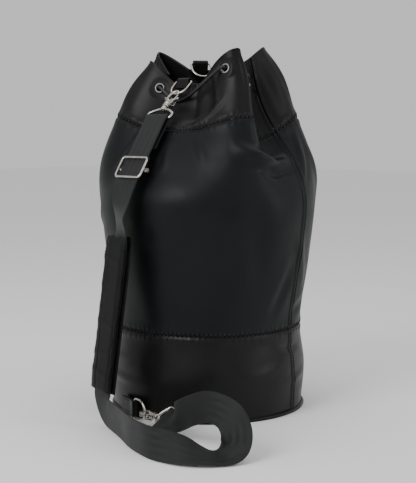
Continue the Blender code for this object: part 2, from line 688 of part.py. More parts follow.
def make_slider(loop_bar):
    """Bowed frame, its bar, and the strap end sewn round the bar."""
    down, n = layers(loop_bar)
    frame = frame_from(SLIDER_AT, X, -down)
    front = RAIL_R + STRAP_T / 2 + 0.0004        # top and bottom rails lie over the strap
    wrap_in = BAR_R + FIT_GAP
    wrap_mid = wrap_in + END_T / 2
    behind = -(STRAP_T / 2 + FIT_GAP + wrap_in + END_T)
    w, h, corner = STRAP_W / 2 + 0.0035, SLIDER_L / 2 - RAIL_R, 0.004
    quarter = [(w - corner + corner * math.sin(t), h - corner + corner * math.cos(t))
               for t in (math.pi / 2 * i / 3 for i in range(4))]
    side = [(w, h * s) for s in (0.5, 0.22, 0.0, -0.22, -0.5)]
    right = [(0, h)] + quarter + side + [(x, -z) for x, z in reversed(quarter)]
    outline = right + [(-x, -z) for x, z in right]
    pts = []
    for x, z in outline:
        dip = 0.0
        if abs(x) > w - 0.001:
            dip = 0.5 + 0.5 * math.cos(math.pi * min(1.0, abs(z) / (h * 0.80)))
        pts.append(frame.translation + X * x - down * z + n * mix(front, behind, dip))
    body = add("slider_frame", tube(pts, RAIL_R, 8, closed=True), "nickel", origin=SLIDER_AT)
    centre = SLIDER_AT + n * behind
    for s, word in ((1, "right"), (-1, "left")):
        eye = rod(centre + X * s * (w - 0.0016), centre + X * s * (w + 0.0016), 0.0030, 16)
        boolean(body, cutter("slider_eye_" + word, eye), "UNION")
    hole = rod(centre - X * 0.04, centre + X * 0.04, BAR_R + PRESS_GAP, 12)
    boolean(body, cutter("slider_bar_hole", hole), "DIFFERENCE")
    add("slider_bar", rod(centre - X * (w + 0.0035), centre + X * (w + 0.0035), BAR_R, 12),
        "nickel", origin=centre)
    stations = []
    for c, out in [(centre + n * wrap_mid - down * END_LEG, n),
                   (centre + n * wrap_mid - down * END_LEG * 0.5, n)]:
        stations.append((c, X * STRAP_W / 2, out))
    for i in range(9):
        t = math.pi * i / 8
        out = n * math.cos(t) + down * math.sin(t)
        stations.append((centre + out * wrap_mid, X * STRAP_W / 2, out))
    close = centre + n * (wrap_mid - END_T - FIT_GAP)
    stations.append((close - down * END_LEG * 0.55, X * STRAP_W / 2, -n))
    stations.append((close - down * END_LEG, X * STRAP_W / 2, -n))
    add("strap_end", ribbon(stations, END_T), "webbing")


def make_pad():
    """Padded face and backing, with the strap between them."""
    turn = Vector((math.cos(PAD_TURN), math.sin(PAD_TURN), 0))
    down = (PAD_FOOT - PAD_HEAD).normalized()
    n = down.cross(turn).normalized()
    for name, t, side in [("shoulder_pad", PAD_T, 1), ("pad_backing", BACKING_T, -1)]:
        shift = n * side * (STRAP_T / 2 + PAD_GAP + t / 2)
        stations = [(PAD_HEAD.lerp(PAD_FOOT, i / 6) + shift, turn * PAD_W / 2, n)
                    for i in range(7)]
        add(name, ribbon(stations, t), "pad_cloth")


def make_base_tab():
    """Leather tab sewn to the lower band, folded round the base ring's upright bar."""
    run = (BASE_BAR - TAB_FOOT).normalized()
    side = Z.cross(run).normalized()
    mid = WIRE_R + FIT_GAP * 2 + TAB_T / 2
    stations = []
    length = (BASE_BAR - TAB_FOOT).length
    close = TAB_T / 2 + FIT_GAP / 2
    for d, off in [(0.0, close), (0.4, close), (0.72, close), (0.94, mid)]:
        stations.append((TAB_FOOT + run * length * d + side * off, Z * TAB_W / 2, side))
    for i in range(0, 9):
        t = math.pi * i / 8
        out = side * math.cos(t) + run * math.sin(t)
        stations.append((BASE_BAR + out * mid, Z * TAB_W / 2, out))
    for d, off in [(0.94, mid), (0.72, close), (0.4, close), (0.0, close)]:
        stations.append((TAB_FOOT + run * length * d - side * off, Z * TAB_W / 2, -side))
    add("base_ring_tab", ribbon(stations, TAB_T), "trim_leather")


def make_cord_object(name, points):
    curve = bpy.data.curves.new(name, "CURVE")
    curve.dimensions = "3D"
    curve.bevel_depth = CORD_R
    curve.bevel_resolution = 2
    curve.use_fill_caps = True
    spline = curve.splines.new("POLY")
    spline.points.add(len(points) - 1)
    for point, p in zip(spline.points, points):
        point.co = (*p, 1.0)
    curve.materials.append(finish("cord"))
    item = bpy.data.objects.new(name, curve)
    bpy.context.collection.objects.link(item)
    return item


def main():
    clear_scene()
    collars = make_bag()
    make_eyelets(collars)
    keys, knot = make_drawstring()
    make_cord_object("drawstring", smooth_route(keys, 0.0068))
    bm = bmesh.new()
    bmesh.ops.create_icosphere(bm, subdivisions=2, radius=KNOT_R)
    bmesh.ops.translate(bm, verts=bm.verts, vec=knot)
    add("drawstring_knot", bm, "cord")

    front_bar = rim_tab("front_ring_tab", FRONT_ANGLE, TAB_RISE)
    ring, hook, swivel = chain_frames(front_bar, CHAIN_DOWN, X,
                                      CHAIN_DOWN.cross(X))
    make_ring("front_ring", ring)
    loop = frame_from(swivel, X, -CHAIN_DOWN)
    make_snap("top", hook, loop)
    top_bar = loop @ Vector((0, 0, LOOP_BAR))
    strap = route_stations(upper_strap_keys(top_bar), 0.0052)
    add("strap_upper", ribbon(strap, STRAP_T), "webbing")
    make_slider(top_bar)
    make_pad()

    back_bar = rim_tab("back_ring_tab", BACK_ANGLE, BACK_RISE)
    make_ring("back_ring", frame_from(back_bar, BACK_ALONG, -BACK_HANG))

    make_base_tab()
    ring, hook, swivel = chain_frames(BASE_BAR, BASE_RUN, Z, Z.cross(BASE_RUN) * -1)
    make_ring("base_ring", ring)
    inward = Z.cross(BASE_RUN)
    wide = inward * math.cos(LEAN) + Z * math.sin(LEAN)
    loop = frame_from(swivel, wide, -BASE_RUN)
    make_snap("base", hook, loop)
    base_bar = loop @ Vector((0, 0, LOOP_BAR))
    strap = route_stations(lower_strap_keys(base_bar, wide), 0.0062)
    add("strap_lower", ribbon(strap, STRAP_T), "webbing")


main()
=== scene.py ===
# %% [markdown]
# # A leather drawstring duffel bag
#
# The bag is a soft cylinder of black leather: a lower band, a body and a gathered collar, each in
# two panels that meet at the side seams. A drawstring through ten eyelets gathers the mouth. A
# webbing shoulder strap with a sleeve pad hangs from a D-ring at the rim, lies on the floor beside
# the bag, and clips to a second D-ring at the base.
#
# The frame, sizes and joints come from the CAD model. This script gives each piece its real surface:
# leather with folds and grain, stitching, woven webbing, a padded sleeve and turned hardware.
# Units are metres, +Z is up, and the strap side of the bag faces -Y.

# %% Load the frame
import math

import bmesh
import bpy
import numpy as np
from mathutils import Matrix, Vector
from mathutils.bvhtree import BVHTree


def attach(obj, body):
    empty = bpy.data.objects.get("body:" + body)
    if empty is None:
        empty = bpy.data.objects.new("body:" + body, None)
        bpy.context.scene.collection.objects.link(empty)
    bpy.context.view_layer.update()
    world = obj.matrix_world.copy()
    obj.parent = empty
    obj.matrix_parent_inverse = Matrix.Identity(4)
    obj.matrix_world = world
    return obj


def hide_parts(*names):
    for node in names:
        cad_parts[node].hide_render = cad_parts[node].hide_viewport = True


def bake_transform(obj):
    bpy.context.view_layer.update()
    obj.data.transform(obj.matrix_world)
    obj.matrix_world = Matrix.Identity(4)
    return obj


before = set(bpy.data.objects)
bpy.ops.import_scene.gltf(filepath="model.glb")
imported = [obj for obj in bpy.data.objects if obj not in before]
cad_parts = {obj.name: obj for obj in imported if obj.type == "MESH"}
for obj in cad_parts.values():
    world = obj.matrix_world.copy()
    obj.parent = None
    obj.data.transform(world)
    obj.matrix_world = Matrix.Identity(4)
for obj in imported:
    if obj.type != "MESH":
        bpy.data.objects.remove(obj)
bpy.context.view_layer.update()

X = Vector((1.0, 0.0, 0.0))
Z = Vector((0.0, 0.0, 1.0))


# %% [markdown]
# ## Sizes
#
# The leather surface follows the same formula as the CAD walls, so the two agree everywhere. Angles
# go round the bag from the strap side. Heights along the leather run from 0 at the base to RIM_H at
# the rim, even where the collar folds and the true height is less.

# %% Sizes of the bag
BASE_R = 0.1335
WAIST_R = 0.1300
BELLY_R = 0.1505
BAND_H = 0.116
BELLY_H = 0.290
SEAM_H = 0.400
RIM_H = 0.510
LEATHER = 0.0022
SEAM_GAP = 0.0003
SIDE_SEAM = 102.0
WELT_R = 0.0026
RIDGES = [(67, 0.092, 0.493), (126, 0.076, 0.497), (198, 0.084, 0.478), (276, 0.086, 0.494),
          (312, 0.080, 0.480)]
VALLEYS = [(0, 0.050, 0.447), (86, 0.060, 0.474), (160, 0.052, 0.462), (237, 0.045, 0.468),
           (298, 0.058, 0.462)]
SEAM_DIP = {0: (0.388, 0.38), 86: (0.372, 0.0), 160: (0.386, 0.20), 237: (0.388, 0.38),
            298: (0.392, 0.0)}
EYELETS = [-31, 56, 77, 93, 148, 174, 216, 256, 290, 306]
EYELET_DROP = 0.026
FRONT_ANGLE, BACK_ANGLE = 0, 237

# %% Sizes of the cord, strap and hardware
CORD_R = 0.0021
KNOT_AFTER, KNOT_ANGLE, KNOT_OUT, KNOT_Z, KNOT_R = 174, 198, 0.050, 0.424, 0.0080
CORD_REACH = 0.0085
CORD_SAG = 0.0340
WIRE_R = 0.0015
RING_W = 0.0280
RING_L = 0.0250
TAB_W = 0.0210
TAB_T = 0.0020
TAB_LEG = 0.0110
TAB_RISE = 0.0034            # underside of the front ring's bar above the rim
BACK_RISE = 0.0095           # the back tab stands up higher
STRAP_W = 0.0380
STRAP_T = 0.0018
LOOP_WIRE_R = 0.00175
SLIDER_L = 0.0330
RAIL_R = 0.0015
BAR_R = 0.0013
END_T = 0.0012
END_LEG = 0.0190
PAD_W = 0.0500
PAD_T = 0.0070
PAD_TOP = 0.250
PAD_BOTTOM = 0.044
PAD_GAP = 0.0012             # between the strap and either side of the sleeve
BACKING_T = 0.0016
FLOOR_BEND = 0.0215          # radius in which the strap turns on to the floor
HOOK_TOP = 0.0280
LOOP_BAR = -0.0205
THREAD_R = 0.00034


# %% [markdown]
# ## Small helpers
#
# A value read from a smooth curve through a few keys places almost everything here: the bag's
# profile, the drawstring and the strap.

# %% Curves through keys
def mix(a, b, t):
    return a + (b - a) * t


def through(keys, x):
    """Smooth curve through keys, a list of (x, value), by Catmull-Rom."""
    if x <= keys[0][0]:
        return keys[0][1]
    if x >= keys[-1][0]:
        return keys[-1][1]
    i = max(k for k in range(len(keys) - 1) if keys[k][0] <= x)
    x0, p0 = keys[i]
    x1, p1 = keys[i + 1]
    before = keys[i - 1] if i > 0 else None
    after = keys[i + 2] if i + 2 < len(keys) else None
    step = x1 - x0
    m0 = (p1 - p0) if before is None else (p1 - before[1]) * (step / (x1 - before[0]))
    m1 = (p1 - p0) if after is None else (after[1] - p0) * (step / (after[0] - x0))
    t = (x - x0) / step
    t2, t3 = t * t, t * t * t
    return (p0 * (2 * t3 - 3 * t2 + 1) + m0 * (t3 - 2 * t2 + t)
            + p1 * (3 * t2 - 2 * t3) + m1 * (t3 - t2))


def smooth_route(keys, step):
    """Evenly spaced points on a smooth curve through keys."""
    table = [(0.0, keys[0])]
    for a, b in zip(keys, keys[1:]):
        table.append((table[-1][0] + (b - a).length, b))
    length = table[-1][0]
    count = max(2, round(length / step))
    return [through(table, length * i / count) for i in range(count + 1)]


def frame_from(origin, x_axis, z_axis):
    z_axis = z_axis.normalized()
    x_axis = (x_axis - z_axis * x_axis.dot(z_axis)).normalized()
    m = Matrix((x_axis, z_axis.cross(x_axis), z_axis)).transposed().to_4x4()
    m.translation = origin
    return m


def arc(cx, cz, rx, rz, start, end, steps):
    return [(cx + rx * math.cos(math.radians(mix(start, end, i / steps))),
             cz + rz * math.sin(math.radians(mix(start, end, i / steps))))
            for i in range(steps + 1)]


# %% Objects from meshes and curves
def make(name, bm, mat, recalc=True):
    """A bmesh as a smooth-shaded object."""
    if recalc:
        bmesh.ops.recalc_face_normals(bm, faces=bm.faces)
    mesh = bpy.data.meshes.new(name)
    bm.to_mesh(mesh)
    bm.free()
    mesh.materials.append(mat)
    mesh.shade_smooth()
    mesh.set_sharp_from_angle(angle=math.radians(40))
    item = bpy.data.objects.new(name, mesh)
    bpy.context.scene.collection.objects.link(item)
    return item


def settle(item):
    """Apply every modifier, or turn a curve into a mesh, and keep the result."""
    evaluated = item.evaluated_get(bpy.context.evaluated_depsgraph_get())
    mesh = bpy.data.meshes.new_from_object(evaluated)
    mesh.name = item.name
    if item.type == "MESH":
        item.modifiers.clear()
        item.data = mesh
        return item
    name = item.name
    bpy.data.objects.remove(item, do_unlink=True)
    made = bpy.data.objects.new(name, mesh)
    bpy.context.scene.collection.objects.link(made)
    mesh.shade_smooth()
    return made


def thicken(item, thickness, offset, edge=0.0):
    """Give a sheet its thickness and soften the cut edge."""
    solid = item.modifiers.new("thickness", "SOLIDIFY")
    solid.thickness = thickness
    solid.offset = offset
    if edge:
        soft = item.modifiers.new("edge", "BEVEL")
        soft.width = edge
        soft.segments = 2
        soft.limit_method = "ANGLE"
        soft.angle_limit = math.radians(60)
    bpy.context.view_layer.update()
    settle(item)
    item.data.shade_smooth()
    item.data.set_sharp_from_angle(angle=math.radians(60))
    return item


def wire(name, routes, radius, mat, closed=False, radii=None, resolution=4):
    """Round bars along routes, lists of points, as one mesh."""
    curve = bpy.data.curves.new(name, "CURVE")
    curve.dimensions = "3D"
    curve.bevel_depth = radius
    curve.bevel_resolution = resolution
    curve.use_fill_caps = True
    for route in routes:
        spline = curve.splines.new("POLY")
        spline.points.add(len(route) - 1)
        spline.use_cyclic_u = closed
        for i, p in enumerate(route):
            spline.points[i].co = (*p, 1.0)
            spline.points[i].radius = radii[i] if radii else 1.0
    curve.materials.append(mat)
    item = bpy.data.objects.new(name, curve)
    bpy.context.scene.collection.objects.link(item)
    bpy.context.view_layer.update()
    return settle(item)


def join(name, items):
    """Several objects that are one piece as one mesh."""
    bm = bmesh.new()
    mats = []
    for item in items:
        for mat in item.data.materials:
            if mat not in mats:
                mats.append(mat)
    for item in items:
        first = len(bm.faces)
        bm.from_mesh(item.data)
        bm.faces.ensure_lookup_table()
        slots = [mats.index(mat) for mat in item.data.materials]
        for face in bm.faces[first:]:
            face.material_index = slots[face.material_index]
        bpy.data.objects.remove(item, do_unlink=True)
    mesh = bpy.data.meshes.new(name)
    bm.to_mesh(mesh)
    bm.free()
    for mat in mats:
        mesh.materials.append(mat)
    made = bpy.data.objects.new(name, mesh)
    bpy.context.scene.collection.objects.link(made)
    return made


def put(item, body, slot, *nodes):
    """Let a finished piece move with its body and stand for its CAD nodes."""
    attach(item, body)
    if nodes:
        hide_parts(*nodes)
    print(item.name, "on", body, len(item.data.polygons), "faces")
    return item


def paint(name, mat):
    """Give a CAD node that stays in the picture its material."""
    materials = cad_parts[name].data.materials
    materials.clear()
    materials.append(mat)


# %% [markdown]
# ## Materials
#
# Everything is black or nickel, so the eye reads the bag by its sheen. The leather has a fine pebble
# grain, slow changes in gloss and faint stretch lines. The webbing shows its chevron weave, the
# sleeve a finer plain weave, and the hardware the soft scratches of worn nickel.

# %% Material helpers
def new_material(name, colour, rough, metallic=0.0):
    mat = bpy.data.materials.new(name)
    mat.use_nodes = True
    shader = mat.node_tree.nodes["Principled BSDF"]
    shader.inputs["Base Color"].default_value = (*colour, 1.0)
    shader.inputs["Roughness"].default_value = rough
    shader.inputs["Metallic"].default_value = metallic
    return mat, mat.node_tree, shader


def noise(tree, vector, scale, detail=3.0, roughness=0.55):
    node = tree.nodes.new("ShaderNodeTexNoise")
    node.inputs["Scale"].default_value = scale
    node.inputs["Detail"].default_value = detail
    node.inputs["Roughness"].default_value = roughness
    tree.links.new(vector, node.inputs["Vector"])
    return node.outputs["Fac"]


def stretched(tree, vector, scale):
    node = tree.nodes.new("ShaderNodeMapping")
    node.inputs["Scale"].default_value = scale
    tree.links.new(vector, node.inputs["Vector"])
    return node.outputs["Vector"]


def maths(tree, operation, a, b=None):
    node = tree.nodes.new("ShaderNodeMath")
    node.operation = operation
    for socket, value in zip(node.inputs, (a, b)):
        if isinstance(value, (int, float)):
            socket.default_value = value
        elif value is not None:
            tree.links.new(value, socket)
    return node.outputs["Value"]


def spread(tree, value, low, high):
    """Map 0.3 to 0.7 of a noise on to low to high."""
    node = tree.nodes.new("ShaderNodeMapRange")
    node.inputs["From Min"].default_value = 0.3
    node.inputs["From Max"].default_value = 0.7
    node.inputs["To Min"].default_value = low
    node.inputs["To Max"].default_value = high
    tree.links.new(value, node.inputs["Value"])
    return node.outputs["Result"]


def tint(tree, value, dark, light):
    node = tree.nodes.new("ShaderNodeValToRGB")
    node.color_ramp.elements[0].position = 0.3
    node.color_ramp.elements[0].color = (*dark, 1.0)
    node.color_ramp.elements[1].position = 0.7
    node.color_ramp.elements[1].color = (*light, 1.0)
    tree.links.new(value, node.inputs["Fac"])
    return node.outputs["Color"]


def bump(tree, height, strength, distance, under=None):
    node = tree.nodes.new("ShaderNodeBump")
    node.inputs["Strength"].default_value = strength
    node.inputs["Distance"].default_value = distance
    tree.links.new(height, node.inputs["Height"])
    if under is not None:
        tree.links.new(under, node.inputs["Normal"])
    return node.outputs["Normal"]


def object_place(tree):
    return tree.nodes.new("ShaderNodeTexCoord").outputs["Object"]


# %% Leather
def leather(name, dark, light, smooth, dull, grain=1.0):
    """Pebbled leather between two colours and two roughness values."""
    mat, tree, shader = new_material(name, light, dull)
    place = object_place(tree)
    cells = tree.nodes.new("ShaderNodeTexVoronoi")
    cells.feature = "SMOOTH_F1"
    cells.inputs["Scale"].default_value = 850.0
    tree.links.new(place, cells.inputs["Vector"])
    slow = noise(tree, place, 14.0)
    patch = noise(tree, place, 55.0, 4.0)
    lines = noise(tree, stretched(tree, place, (60.0, 60.0, 420.0)), 1.0, 4.0, 0.6)
    tree.links.new(tint(tree, slow, dark, light), shader.inputs["Base Color"])
    gloss = maths(tree, "ADD", spread(tree, slow, smooth, dull), spread(tree, patch, -0.03, 0.03))
    tree.links.new(gloss, shader.inputs["Roughness"])
    soft = bump(tree, patch, 0.25, 0.0008)
    soft = bump(tree, lines, 0.10, 0.0004, soft)
    tree.links.new(bump(tree, cells.outputs["Distance"], 0.16 * grain, 0.0003, soft),
                   shader.inputs["Normal"])
    shader.inputs["Specular IOR Level"].default_value = 0.17
    return mat


body_leather = leather("body_leather", (0.0028, 0.0038, 0.0044), (0.0052, 0.0066, 0.0074), 0.38, 0.50)
band_leather = leather("band_leather", (0.0050, 0.0054, 0.0050), (0.0088, 0.0093, 0.0086), 0.32, 0.43)
trim_leather = leather("trim_leather", (0.0034, 0.0036, 0.0036), (0.0062, 0.0065, 0.0064), 0.34, 0.46, 0.7)


# %% Thread and cord
def twisted(name, colour, rough, pitch):
    """Laid thread or cord: fine slanting ridges over a matt colour."""
    mat, tree, shader = new_material(name, colour, rough)
    place = object_place(tree)
    ridges = tree.nodes.new("ShaderNodeTexWave")
    ridges.bands_direction = "DIAGONAL"
    ridges.inputs["Scale"].default_value = pitch
    ridges.inputs["Distortion"].default_value = 1.5
    tree.links.new(place, ridges.inputs["Vector"])
    fuzz = noise(tree, place, 900.0)
    tree.links.new(spread(tree, fuzz, rough - 0.08, rough + 0.10), shader.inputs["Roughness"])
    lay = bump(tree, ridges.outputs["Fac"], 0.35, 0.0003)
    tree.links.new(bump(tree, fuzz, 0.20, 0.0002, lay), shader.inputs["Normal"])
    return mat


thread_black = twisted("thread_black", (0.0015, 0.0015, 0.0015), 0.55, 700.0)
cord_leather = twisted("cord_leather", (0.0030, 0.0030, 0.0032), 0.42, 120.0)


# %% Webbing and sleeve cloth
def webbing_material():
    """Chevron webbing on a UV map in metres: across the strap, then along it."""
    mat, tree, shader = new_material("webbing", (0.012, 0.012, 0.013), 0.55)
    uv = tree.nodes.new("ShaderNodeUVMap")
    uv.uv_map = "Cut"
    split = tree.nodes.new("ShaderNodeSeparateXYZ")
    tree.links.new(uv.outputs["UV"], split.inputs["Vector"])
    across, along = split.outputs["X"], split.outputs["Y"]
    zigzag = maths(tree, "PINGPONG", across, 0.0045)
    slant = maths(tree, "ADD", along, zigzag)
    twill = maths(tree, "SINE", maths(tree, "MULTIPLY", slant, 2 * math.pi / 0.0013))
    warp = maths(tree, "SINE", maths(tree, "MULTIPLY", across, 2 * math.pi / 0.0011))
    weave = maths(tree, "ADD", maths(tree, "MULTIPLY", twill, 0.7), maths(tree, "MULTIPLY", warp, 0.3))
    wear = noise(tree, object_place(tree), 45.0, 4.0)
    tree.links.new(tint(tree, wear, (0.0045, 0.0050, 0.0055), (0.0085, 0.0092, 0.0098)),
                   shader.inputs["Base Color"])
    tree.links.new(spread(tree, wear, 0.46, 0.60), shader.inputs["Roughness"])
    tree.links.new(bump(tree, weave, 0.45, 0.00022), shader.inputs["Normal"])
    shader.inputs["Specular IOR Level"].default_value = 0.30
    shader.inputs["Sheen Weight"].default_value = 0.04
    shader.inputs["Sheen Roughness"].default_value = 0.45
    return mat


def cloth_material():
    """Plain woven cloth, finer than the webbing."""
    mat, tree, shader = new_material("pad_cloth", (0.014, 0.014, 0.015), 0.6)
    place = object_place(tree)
    rows = tree.nodes.new("ShaderNodeTexWave")
    rows.bands_direction = "Z"
    rows.inputs["Scale"].default_value = 330.0
    rows.inputs["Distortion"].default_value = 0.6
    columns = tree.nodes.new("ShaderNodeTexWave")
    columns.bands_direction = "X"
    columns.inputs["Scale"].default_value = 330.0
    columns.inputs["Distortion"].default_value = 0.6
    for wave in (rows, columns):
        tree.links.new(place, wave.inputs["Vector"])
    weave = maths(tree, "MULTIPLY", rows.outputs["Fac"], columns.outputs["Fac"])
    wear = noise(tree, place, 40.0, 4.0)
    tree.links.new(tint(tree, wear, (0.0036, 0.0038, 0.0040), (0.0070, 0.0074, 0.0076)),
                   shader.inputs["Base Color"])
    tree.links.new(spread(tree, wear, 0.50, 0.64), shader.inputs["Roughness"])
    slow = bump(tree, wear, 0.30, 0.0012)
    tree.links.new(bump(tree, weave, 0.35, 0.0003, slow), shader.inputs["Normal"])
    shader.inputs["Specular IOR Level"].default_value = 0.14
    shader.inputs["Sheen Weight"].default_value = 0.02
    shader.inputs["Sheen Roughness"].default_value = 0.40
    return mat


webbing = webbing_material()
pad_cloth = cloth_material()


# %% Metal and board
def worn_metal(name, dark, light, rough):
    mat, tree, shader = new_material(name, light, rough, 1.0)
    place = object_place(tree)
    tarnish = noise(tree, place, 160.0, 5.0)
    fine = noise(tree, stretched(tree, place, (300.0, 300.0, 2600.0)), 1.0, 5.0)
    tree.links.new(tint(tree, tarnish, dark, light), shader.inputs["Base Color"])
    tree.links.new(spread(tree, tarnish, rough + 0.10, rough - 0.06), shader.inputs["Roughness"])
    tree.links.new(bump(tree, fine, 0.12, 0.0001), shader.inputs["Normal"])
    return mat


def fibre_board():
    mat, tree, shader = new_material("board", (0.10, 0.09, 0.08), 0.8)
    specks = noise(tree, object_place(tree), 600.0, 5.0)
    tree.links.new(tint(tree, specks, (0.07, 0.06, 0.05), (0.14, 0.12, 0.10)),
                   shader.inputs["Base Color"])
    tree.links.new(bump(tree, specks, 0.3, 0.0003), shader.inputs["Normal"])
    return mat


nickel = worn_metal("nickel", (0.40, 0.375, 0.34), (0.66, 0.63, 0.585), 0.24)
nickel_dark = worn_metal("eyelet_nickel", (0.16, 0.155, 0.15), (0.34, 0.33, 0.32), 0.30)
spring_steel = worn_metal("spring_steel", (0.42, 0.42, 0.43), (0.60, 0.60, 0.61), 0.28)
board = fibre_board()


# %% [markdown]
# ## The leather surface
#
# The collar gathers into five ridges with valleys between them, and the drawstring crosses the
# valleys on the outside. The formula moves the rim between ridge and valley and lets the seam below
# dip where a valley pulls it down. Under each eyelet and rim tab the leather is pressed flat.

# %% Profile of the bag
def lobe(angle):
    """Seam height, valley and ridge of the rim, and how far the leather is to the ridge."""
    marks = sorted([(a % 360, "r", r, z) for a, r, z in RIDGES]
                   + [(a % 360, "v", r, z) for a, r, z in VALLEYS])
    angle %= 360
    for i, mark in enumerate(marks):
        nxt = marks[(i + 1) % len(marks)]
        end = nxt[0] if nxt[0] > mark[0] else nxt[0] + 360
        if mark[0] <= angle < end:
            t = (angle - mark[0]) / (end - mark[0])
            if mark[1] == "r":
                mark, nxt, t = nxt, mark, 1 - t
            dip, level = SEAM_DIP[mark[0]]
            t = max(0.0, (t - level) / (1 - level))
            return dip, mark, nxt, 0.5 - 0.5 * math.cos(math.pi * t)
    return lobe(angle + 1e-6)


def bare_skin(angle, h):
    """Outer surface of the leather at an angle and a leather height."""
    dip, valley, ridge, w = lobe(angle)
    seam_r = mix(BELLY_R - 0.056, BELLY_R - 0.0265, w)
    seam_z = mix(dip, SEAM_H + 0.004, w)
    rim_r = mix(valley[2], ridge[2], w)
    rim_z = mix(valley[3], ridge[3], w)
    shoulder_r = mix(BELLY_R - 0.0195, BELLY_R - 0.003, w)
    mid = (SEAM_H + RIM_H) / 2
    keys_r = [(0.0, BASE_R), (BAND_H / 2, BASE_R + 0.003), (BAND_H, WAIST_R),
              (mix(BAND_H, BELLY_H, 0.5), mix(WAIST_R, BELLY_R, 0.5)), (BELLY_H, BELLY_R),
              (BELLY_H + 0.055, shoulder_r), (SEAM_H, seam_r),
              (mid, mix(seam_r, rim_r, mix(0.72, 0.45, w))), (RIM_H, rim_r)]
    keys_z = [(0.0, 0.0), (BAND_H, BAND_H), (BELLY_H, BELLY_H),
              (BELLY_H + 0.055, BELLY_H + mix(0.045, 0.052, w)), (SEAM_H, seam_z),
              (mid, mix(seam_z, rim_z, mix(0.40, 0.55, w))), (RIM_H, rim_z)]
    r, z = through(keys_r, h), through(keys_z, h)
    a = math.radians(angle)
    return Vector((r * math.sin(a), -r * math.cos(a), z))


def spot(angle, h, surface=bare_skin):
    """Point, outward normal and upward tangent of a surface."""
    p = surface(angle, h)
    up = (surface(angle, min(h + 0.002, RIM_H)) - surface(angle, h - 0.002)).normalized()
    along = (surface(angle + 0.5, h) - surface(angle - 0.5, h)).normalized()
    return p, along.cross(up).normalized(), up


FLATS = [(*spot(a, RIM_H - 0.006)[:2], 0.013, 0.022) for a in (FRONT_ANGLE, BACK_ANGLE)]
FLATS += [(*spot(a, RIM_H - EYELET_DROP)[:2], 0.0095, 0.017) for a in EYELETS]


def pressed(p):
    """How far each flat presses a point, with the flat's centre and normal."""
    for centre, normal, inner, outer in FLATS:
        t = min(1.0, max(0.0, (outer - (p - centre).length) / (outer - inner)))
        if t > 0:
            yield t * t * (3 - 2 * t), centre, normal


def skin(angle, h):
    """The leather surface, pressed flat under each eyelet and rim tab."""
    p = bare_skin(angle, h)
    for weight, centre, normal in pressed(p):
        p = p - normal * (p - centre).dot(normal) * weight
    return p


# %% [markdown]
# ## Folds and creases
#
# Leather this thick doesn't crumple. It keeps a few soft line folds, each a raised lip with a
# hollow on both sides, and it puckers along the seams where the thread pulls it in. Each fold is
# placed by its angle and height in the list below.

# %% Relief
def away(angle, centre):
    return (angle - centre + 180.0) % 360.0 - 180.0


def fold(angle, h, place, tilt, half, bow, width, height):
    """A line fold at place (angle, height). It rises by height and hangs down in the middle by bow."""
    x = np.radians(away(angle, place[0])) * BELLY_R
    y = h - place[1]
    c, s = math.cos(math.radians(tilt)), math.sin(math.radians(tilt))
    along = (x * c + y * s) / half
    off = (y * c - x * s + bow * (1 - along ** 2)) / width
    fade = np.clip(1 - along ** 2, 0, 1) ** 1.5
    return height * fade * (1 - 1.2 * off ** 2) * np.exp(-off ** 2)


